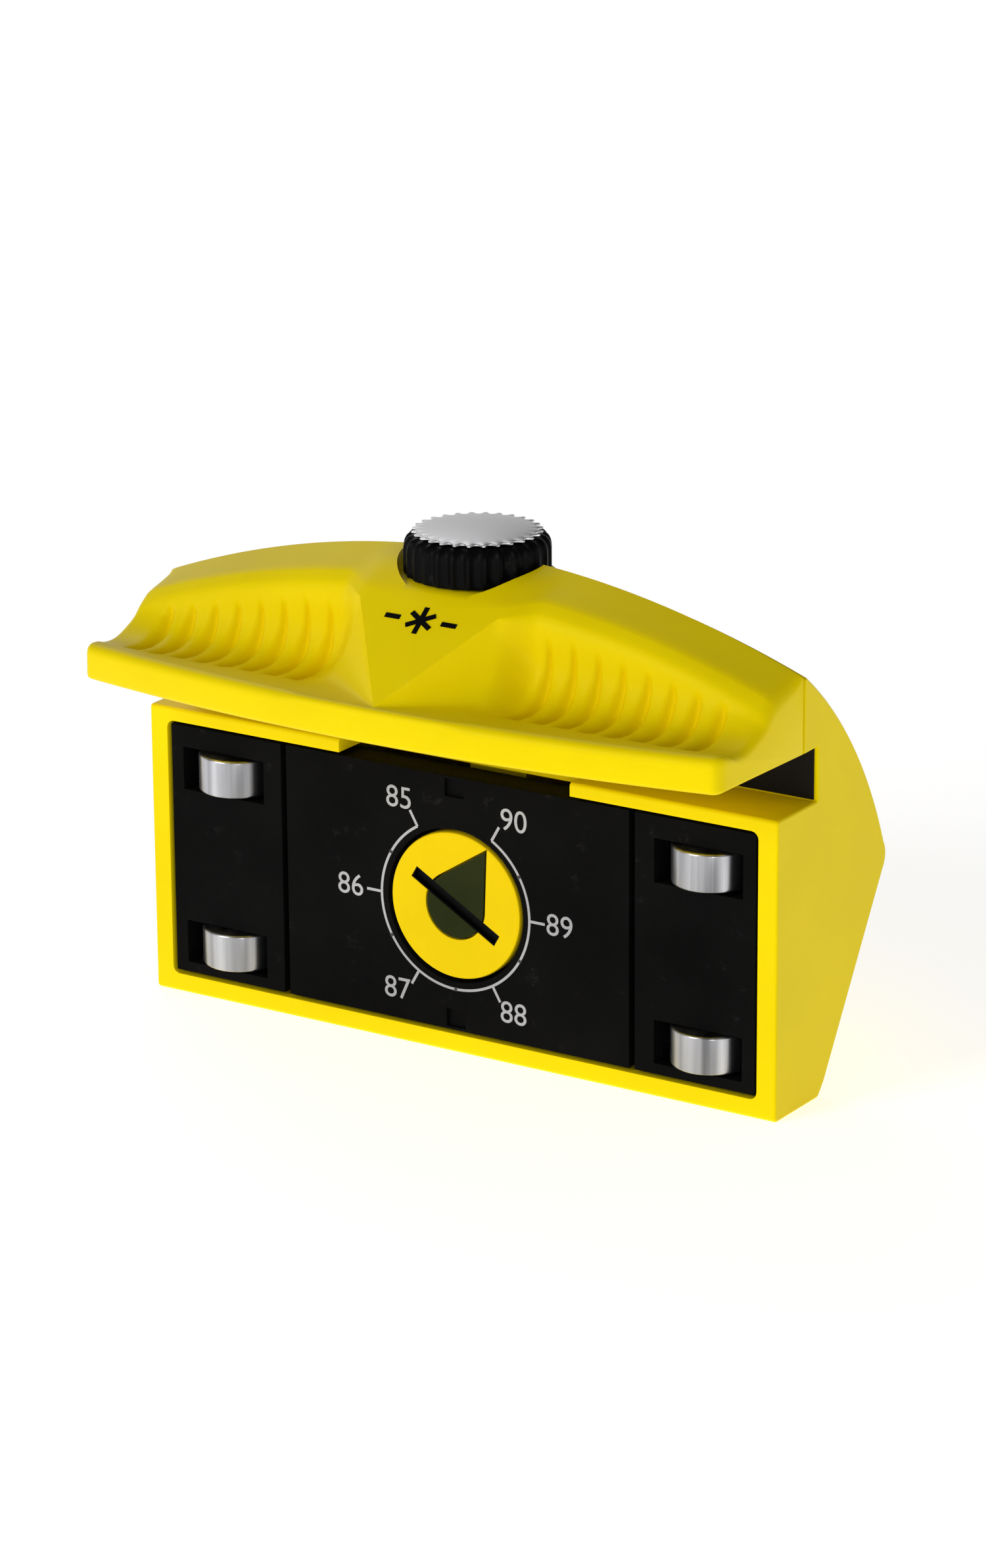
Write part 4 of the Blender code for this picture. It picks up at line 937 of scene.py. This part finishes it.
def fluted_ring(radius, depth, steps=10):
    """A round outline with scalloped flutes, as (x, depth) points about the knob's axis."""
    ring = []
    count = FLUTES * steps
    for index in range(count):
        angle = math.tau * index / count
        away = ((index / steps) % 1.0 - 0.5) * math.tau * KNOB_RADIUS / FLUTES
        bite = depth * math.sqrt(max(0.0, 1 - (away / FLUTE_HALF) ** 2))
        reach = radius - bite
        ring.append((reach * math.cos(angle), PARTING + reach * math.sin(angle)))
    return ring


def knob_grip():
    head = KNOB_TOP - 1.0 * MM
    shoulder = [(-2.3, 0.0, 1.0), (-1.7, 0.04, 1.0), (-1.15, 0.16, 1.0), (-0.65, 0.42, 0.95),
                (-0.25, 0.85, 0.85), (-0.05, 1.3, 0.7), (0.0, 1.75, 0.5)]
    levels = [(KNOB_LOW, fluted_ring(KNOB_RADIUS - 0.5 * MM, FLUTE_DEPTH * 0.3)),
              (KNOB_LOW + 0.15 * MM, fluted_ring(KNOB_RADIUS - 0.15 * MM, FLUTE_DEPTH * 0.8)),
              (KNOB_LOW + 0.5 * MM, fluted_ring(KNOB_RADIUS, FLUTE_DEPTH))]
    levels += [(head + rise * MM, fluted_ring(KNOB_RADIUS - inset * MM, FLUTE_DEPTH * flute))
               for rise, inset, flute in shoulder]
    stem = turned([(0, COLLAR_LOW), (COLLAR_RADIUS, COLLAR_LOW), (COLLAR_RADIUS, COLLAR_TOP),
                   (STEM_RADIUS, COLLAR_TOP), (STEM_RADIUS, KNOB_LOW + MM), (0, KNOB_LOW + MM)],
                  (0, PARTING, 0), 'Z', 64)
    body = carve(stacked(levels), stem, 'UNION')
    body = carve(body, rod((0, PARTING, 60 * MM), 18.3 * MM, INSERT_HOLE, 'Z', 48))
    show("knob_grip", body, KNOB_BLACK, "knob", ["knob"])


def knob_disc():
    """The scalloped, slightly domed plate on top of the knob."""
    low = KNOB_TOP - 0.7 * MM
    rim = KNOB_TOP - CAP_DOME
    dome = [(low, 0.1, 1.0), (low + 0.05 * MM, 0.0, 1.0), (rim + 0.02 * MM, 0.0, 1.0),
            (rim + 0.06 * MM, 0.05, 1.0), (rim + 0.10 * MM, 0.3, 0.9), (rim + 0.14 * MM, 0.9, 0.5),
            (rim + 0.19 * MM, 1.6, 0.0)]
    for step in range(1, 9):
        share = step / 8
        dome.append((rim + 0.19 * MM + 0.29 * MM * (1 - (1 - share) ** 2), 1.6 + 7.6 * share, 0.0))
    levels = [(height, fluted_ring(KNOB_RADIUS - CAP_INSET - inset * MM, 1.5 * FLUTE_DEPTH * flute))
              for height, inset, flute in dome]
    show("knob_disc", stacked(levels), SILVER, "knob", ["knob_cap"])


# --- Plate, scale and dial -------------------------------------------------------

def plate_pieces():
    fine_copy("plate_panel", "tilt_plate", 0.22 * MM, BLACK, "base_plate")
    for side in ("left", "right"):
        fine_copy("cover_panel_" + side, "roller_cover_" + side, 0.25 * MM, BLACK, "base_plate")


def about_dial(bm, angle):
    """Turn a shape clockwise by an angle and set it on the dial's middle."""
    turn = Matrix.Rotation(angle, 4, 'Y')
    bmesh.ops.transform(bm, verts=bm.verts, matrix=Matrix.Translation((0, 0, DIAL_HEIGHT)) @ turn)
    return bm


def around_dial(radius, clock):
    """A place on the plate at a radius and an angle clockwise from straight up."""
    angle = math.radians(clock)
    return radius * math.sin(angle), DIAL_HEIGHT + radius * math.cos(angle)


def ring_band(inner, outer, start, end, thickness):
    """A flat curved band on the plate's face."""
    steps = max(2, round((end - start) / 3))
    clocks = [start + (end - start) * index / steps for index in range(steps + 1)]
    outline = [around_dial(outer, clock) for clock in clocks]
    outline += [around_dial(inner, clock) for clock in reversed(clocks)]
    return prism(outline, 'Y', PLATE_FACE - thickness, PLATE_FACE + 0.02 * MM)


def dial_bar(inner, outer, clock, width, thickness):
    """A short straight bar that points at the dial's centre."""
    bar = box((-width / 2, PLATE_FACE - thickness, inner), (width / 2, PLATE_FACE + 0.02 * MM, outer))
    return about_dial(bar, math.radians(clock))


def digits(text, place, height):
    """Upright numerals on the plate's face, as a thin solid."""
    curve = bpy.data.curves.new("digits", 'FONT')
    curve.body = text
    curve.size = height / 0.72
    curve.align_x = 'CENTER'
    curve.align_y = 'CENTER'
    curve.extrude = 0.03 * MM
    thing = into_scene("digits", curve)
    bpy.context.view_layer.update()
    mesh = bpy.data.meshes.new_from_object(thing.evaluated_get(bpy.context.evaluated_depsgraph_get()))
    bm = bmesh.new()
    bm.from_mesh(mesh)
    bpy.data.objects.remove(thing)
    bpy.data.curves.remove(curve)
    bpy.data.meshes.remove(mesh)
    bmesh.ops.remove_doubles(bm, verts=bm.verts, dist=0.001 * MM)
    upright = Matrix.Translation((place[0], PLATE_FACE - 0.02 * MM, DIAL_HEIGHT + place[1]))
    bmesh.ops.transform(bm, verts=bm.verts, matrix=upright @ Matrix.Rotation(math.pi / 2, 4, 'X'))
    bmesh.ops.recalc_face_normals(bm, faces=bm.faces)
    return bm


def scale_pieces():
    """The ring round the dial, its marks and its numbers."""
    ring = ring_band(13.0 * MM, 13.4 * MM, 30, 330, PRINT_THICKNESS)
    show("scale_ring", ring, INK, "base_plate")
    ticks = bmesh.new()
    for clock in range(30, 360, 60):
        add_to(ticks, dial_bar(13.2 * MM, 15.9 * MM, clock, 0.42 * MM, PRINT_THICKNESS * 1.2))
    show("scale_ticks", ticks, INK, "base_plate")
    marks = bmesh.new()
    for clock in range(60, 360, 60):
        add_to(marks, dial_bar(12.9 * MM, 13.5 * MM, clock, 0.5 * MM, PRINT_THICKNESS * 1.4))
    show("scale_half_marks", marks, FAINT_INK, "base_plate")
    for text, (x, z) in NUMBER_PLACES.items():
        number = digits(text, (x * MM, z * MM), NUMBER_HEIGHT)
        show("scale_number_" + text, number, INK, "base_plate")


def teardrop(grow):
    """The pointer's outline: a circle drawn out to a tip."""
    radius = POINTER_RADIUS + grow
    tip = POINTER_TIP + grow * 2
    touch = math.acos(radius / tip)
    count = 48
    sweep = math.tau - 2 * touch
    outline = [(tip * math.sin(DIAL_REST), DIAL_HEIGHT + tip * math.cos(DIAL_REST))]
    for index in range(count + 1):
        angle = DIAL_REST + touch + sweep * index / count
        outline.append((radius * math.sin(angle), DIAL_HEIGHT + radius * math.cos(angle)))
    return outline


def slot_block(half, width, front, back):
    """A block that lies along the dial's coin slot; width is half its width."""
    block = box((-half, front, -width), (half, back, width))
    return about_dial(block, DIAL_REST)


def coin_slot():
    return slot_block(COIN_SLOT_HALF, 1.0 * MM, -2 * MM, PLATE_FACE + COIN_SLOT_DEPTH)


def dial_face():
    profile = [(0, PLATE_FACE), (DIAL_RADIUS - 0.5 * MM, PLATE_FACE),
               (DIAL_RADIUS - 0.15 * MM, PLATE_FACE + 0.12 * MM), (DIAL_RADIUS, PLATE_FACE + 0.45 * MM),
               (DIAL_RADIUS, DIAL_BACK), (HUB_RADIUS, DIAL_BACK), (HUB_RADIUS, HUB_BACK), (0, HUB_BACK)]
    dial = turned(profile, (0, 0, DIAL_HEIGHT), 'Y', 128)
    tongue = box((-TONGUE_HALF, 4.6 * MM, DIAL_HEIGHT - TONGUE_HALF),
                 (TONGUE_HALF, 7.3 * MM, DIAL_HEIGHT + TONGUE_HALF))
    dial = carve(dial, tongue, 'UNION')
    screw_hole = rod((0, 2.85 * MM, DIAL_HEIGHT), 8 * MM, CAM_SCREW_HOLE, 'Y', 24)
    pocket = prism(teardrop(POINTER_GAP), 'Y', -2 * MM, PLATE_FACE + POINTER_POCKET)
    dial = carve_all(dial, [screw_hole, pocket, coin_slot()])
    soften(dial, 0.12 * MM, 2, 50)
    even_shading(show("dial_face", dial, DIAL_YELLOW, "dial", ["dial"]))


def dial_arrow():
    pointer = prism(teardrop(0), 'Y', PLATE_FACE, PLATE_FACE + POINTER_THICKNESS)
    pointer = carve(pointer, coin_slot())
    soften(pointer, 0.15 * MM, 2, 50)
    even_shading(show("dial_arrow", pointer, UMBER, "dial", ["dial_pointer"]))


def coin_slot_painted_shade():
    """A thin dark tray in the coin slot, painted shade that stands in for the shade inside the slot."""
    tray = slot_block(8.45 * MM, 0.97 * MM, PLATE_FACE + 0.1 * MM, PLATE_FACE + 0.98 * MM)
    tray = carve(tray, slot_block(8.3 * MM, 0.82 * MM, -MM, PLATE_FACE + 0.85 * MM))
    # Painted shade: the dark tray covers the slot's walls and floor.
    show("coin_slot_painted_shade", tray, KNOB_BLACK, "dial")


def roller_profile(radius, half):
    """Half section of a roller with rounded rims and a chamfered bore."""
    steps = [math.pi / 8 * step for step in range(5)]
    arc = [(radius - ROLLER_EDGE + ROLLER_EDGE * math.sin(angle),
            half - ROLLER_EDGE + ROLLER_EDGE * math.cos(angle)) for angle in steps]
    profile = [(ROLLER_BORE, -half + ROLLER_BORE_EDGE), (ROLLER_BORE + ROLLER_BORE_EDGE, -half)]
    profile += [(reach, -height) for reach, height in arc] + list(reversed(arc))
    profile += [(ROLLER_BORE + ROLLER_BORE_EDGE, half), (ROLLER_BORE, half - ROLLER_BORE_EDGE)]
    return profile


def roller_pieces():
    for tag in ("lower_left", "lower_right", "upper_left", "upper_right"):
        low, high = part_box("roller_" + tag)
        profile = roller_profile((high.x - low.x) / 2, (high.z - low.z) / 2)
        roller = turned(profile, (low + high) / 2, 'Z', 96)
        show("steel_roller_" + tag, roller, ROLLER_STEEL, "roller_" + tag,
             ["roller_" + tag], in_place=True)


# --- Carried-over nodes ----------------------------------------------------------

def clamp_pieces():
    fine_copy("clamp_bar", "clamp_shoe", 0.3 * MM, PLATED, "shoe")
    fine_copy("clamp_bar_pad", "shoe_pad", 0.2 * MM, RUBBER, "shoe")


NODE_FINISHES = {
    "handle_screw": PLATED, "cover_screw": PLATED, "cam_screw": PLATED, "thrust_washer": PLATED,
    "cam_anvil": PLATED, "hinge_pin": PLATED, "torsion_spring": SPRING, "roller_pin": PLATED,
    "angle_cam": ACETAL, "knob_insert": BRASS, "clamp_stud": PLATED, "guide_pin": PLATED,
}


def dress_nodes():
    """Give every CAD node that still shows its finish."""
    for name, node in frame["nodes"].items():
        for start, made in NODE_FINISHES.items():
            if name.startswith(start):
                node.data.materials.clear()
                node.data.materials.append(made)


# --- Stage -----------------------------------------------------------------------

def place_camera():
    """A long lens, in front, to the right and a little above."""
    data = bpy.data.cameras.new("camera")
    data.lens = LENS
    data.sensor_width = 36
    data.clip_start = 0.05
    data.clip_end = 50
    camera = into_scene("camera", data)
    back = Vector((math.sin(CAMERA_TURN) * math.cos(CAMERA_RISE),
                   -math.cos(CAMERA_TURN) * math.cos(CAMERA_RISE), math.sin(CAMERA_RISE)))
    right = Vector((math.cos(CAMERA_TURN), math.sin(CAMERA_TURN), 0))
    up = back.cross(right)
    turned_right = right * math.cos(CAMERA_ROLL) + up * math.sin(CAMERA_ROLL)
    turned_up = up * math.cos(CAMERA_ROLL) - right * math.sin(CAMERA_ROLL)
    axes = Matrix((turned_right, turned_up, back)).transposed()
    camera.matrix_world = Matrix.Translation(CAMERA_TARGET + back * CAMERA_DISTANCE) @ axes.to_4x4()
    bpy.context.scene.camera = camera


def add_light(name, place, aim, size, power):
    """A soft rectangular light that faces a point."""
    data = bpy.data.lights.new(name, 'AREA')
    data.shape = 'RECTANGLE'
    data.size, data.size_y = size
    data.energy = power
    light = into_scene(name, data)
    light.location = place
    light.rotation_euler = (Vector(aim) - Vector(place)).to_track_quat('-Z', 'Y').to_euler()


def studio_world():
    """A soft studio: bright near the horizon, dim overhead, a little brighter in front."""
    world = bpy.data.worlds.new("studio")
    world.use_nodes = True
    nodes = world.node_tree.nodes
    links = world.node_tree.links
    place = nodes.new("ShaderNodeTexCoord")
    total = nodes.new("ShaderNodeMath")
    total.operation = 'ADD'
    spans = [((0, 0, 1), 0.1, 0.45, HORIZON_GLOW, ZENITH_GLOW),
             ((-0.2, -0.95, 0.2), 0.2, 0.95, 0.0, FRONT_GLOW)]
    for index, (way, low, high, start, end) in enumerate(spans):
        facing = nodes.new("ShaderNodeVectorMath")
        facing.operation = 'DOT_PRODUCT'
        facing.inputs[1].default_value = Vector(way).normalized()
        fade = nodes.new("ShaderNodeMapRange")
        fade.interpolation_type = 'SMOOTHSTEP'
        for socket, value in (("From Min", low), ("From Max", high), ("To Min", start), ("To Max", end)):
            fade.inputs[socket].default_value = value
        links.new(place.outputs["Generated"], facing.inputs[0])
        links.new(facing.outputs["Value"], fade.inputs["Value"])
        links.new(fade.outputs["Result"], total.inputs[index])
    links.new(total.outputs["Value"], nodes["Background"].inputs["Strength"])
    nodes["Background"].inputs["Color"].default_value = (1, 1, 1, 1)
    bpy.context.scene.world = world


def add_floor():
    """A wide pale floor that glows a little, so that it stays plain."""
    bm = bmesh.new()
    bmesh.ops.create_grid(bm, x_segments=1, y_segments=1, size=6)
    mesh = bpy.data.meshes.new("floor")
    bm.to_mesh(mesh)
    bm.free()
    pale = bpy.data.materials.new("pale_floor")
    pale.use_nodes = True
    shader = pale.node_tree.nodes["Principled BSDF"]
    shader.inputs["Base Color"].default_value = (0.95, 0.95, 0.95, 1)
    shader.inputs["Roughness"].default_value = 0.9
    shader.inputs["Specular IOR Level"].default_value = 0.1
    shader.inputs["Emission Color"].default_value = (1, 1, 1, 1)
    shader.inputs["Emission Strength"].default_value = FLOOR_GLOW
    mesh.materials.append(pale)
    into_scene("floor", mesh)


def set_stage():
    bpy.context.scene.view_settings.view_transform = 'Standard'
    studio_world()
    add_floor()
    for name, place, size, power in LIGHTS:
        add_light(name, place, (0, 0, 40 * MM), size, power)


housing_shell()
slot_strip()
handle_grip()
prow_emblem()
knob_grip()
knob_disc()
plate_pieces()
scale_pieces()
dial_face()
dial_arrow()
coin_slot_painted_shade()
roller_pieces()
clamp_pieces()
dress_nodes()
place_camera()
set_stage()
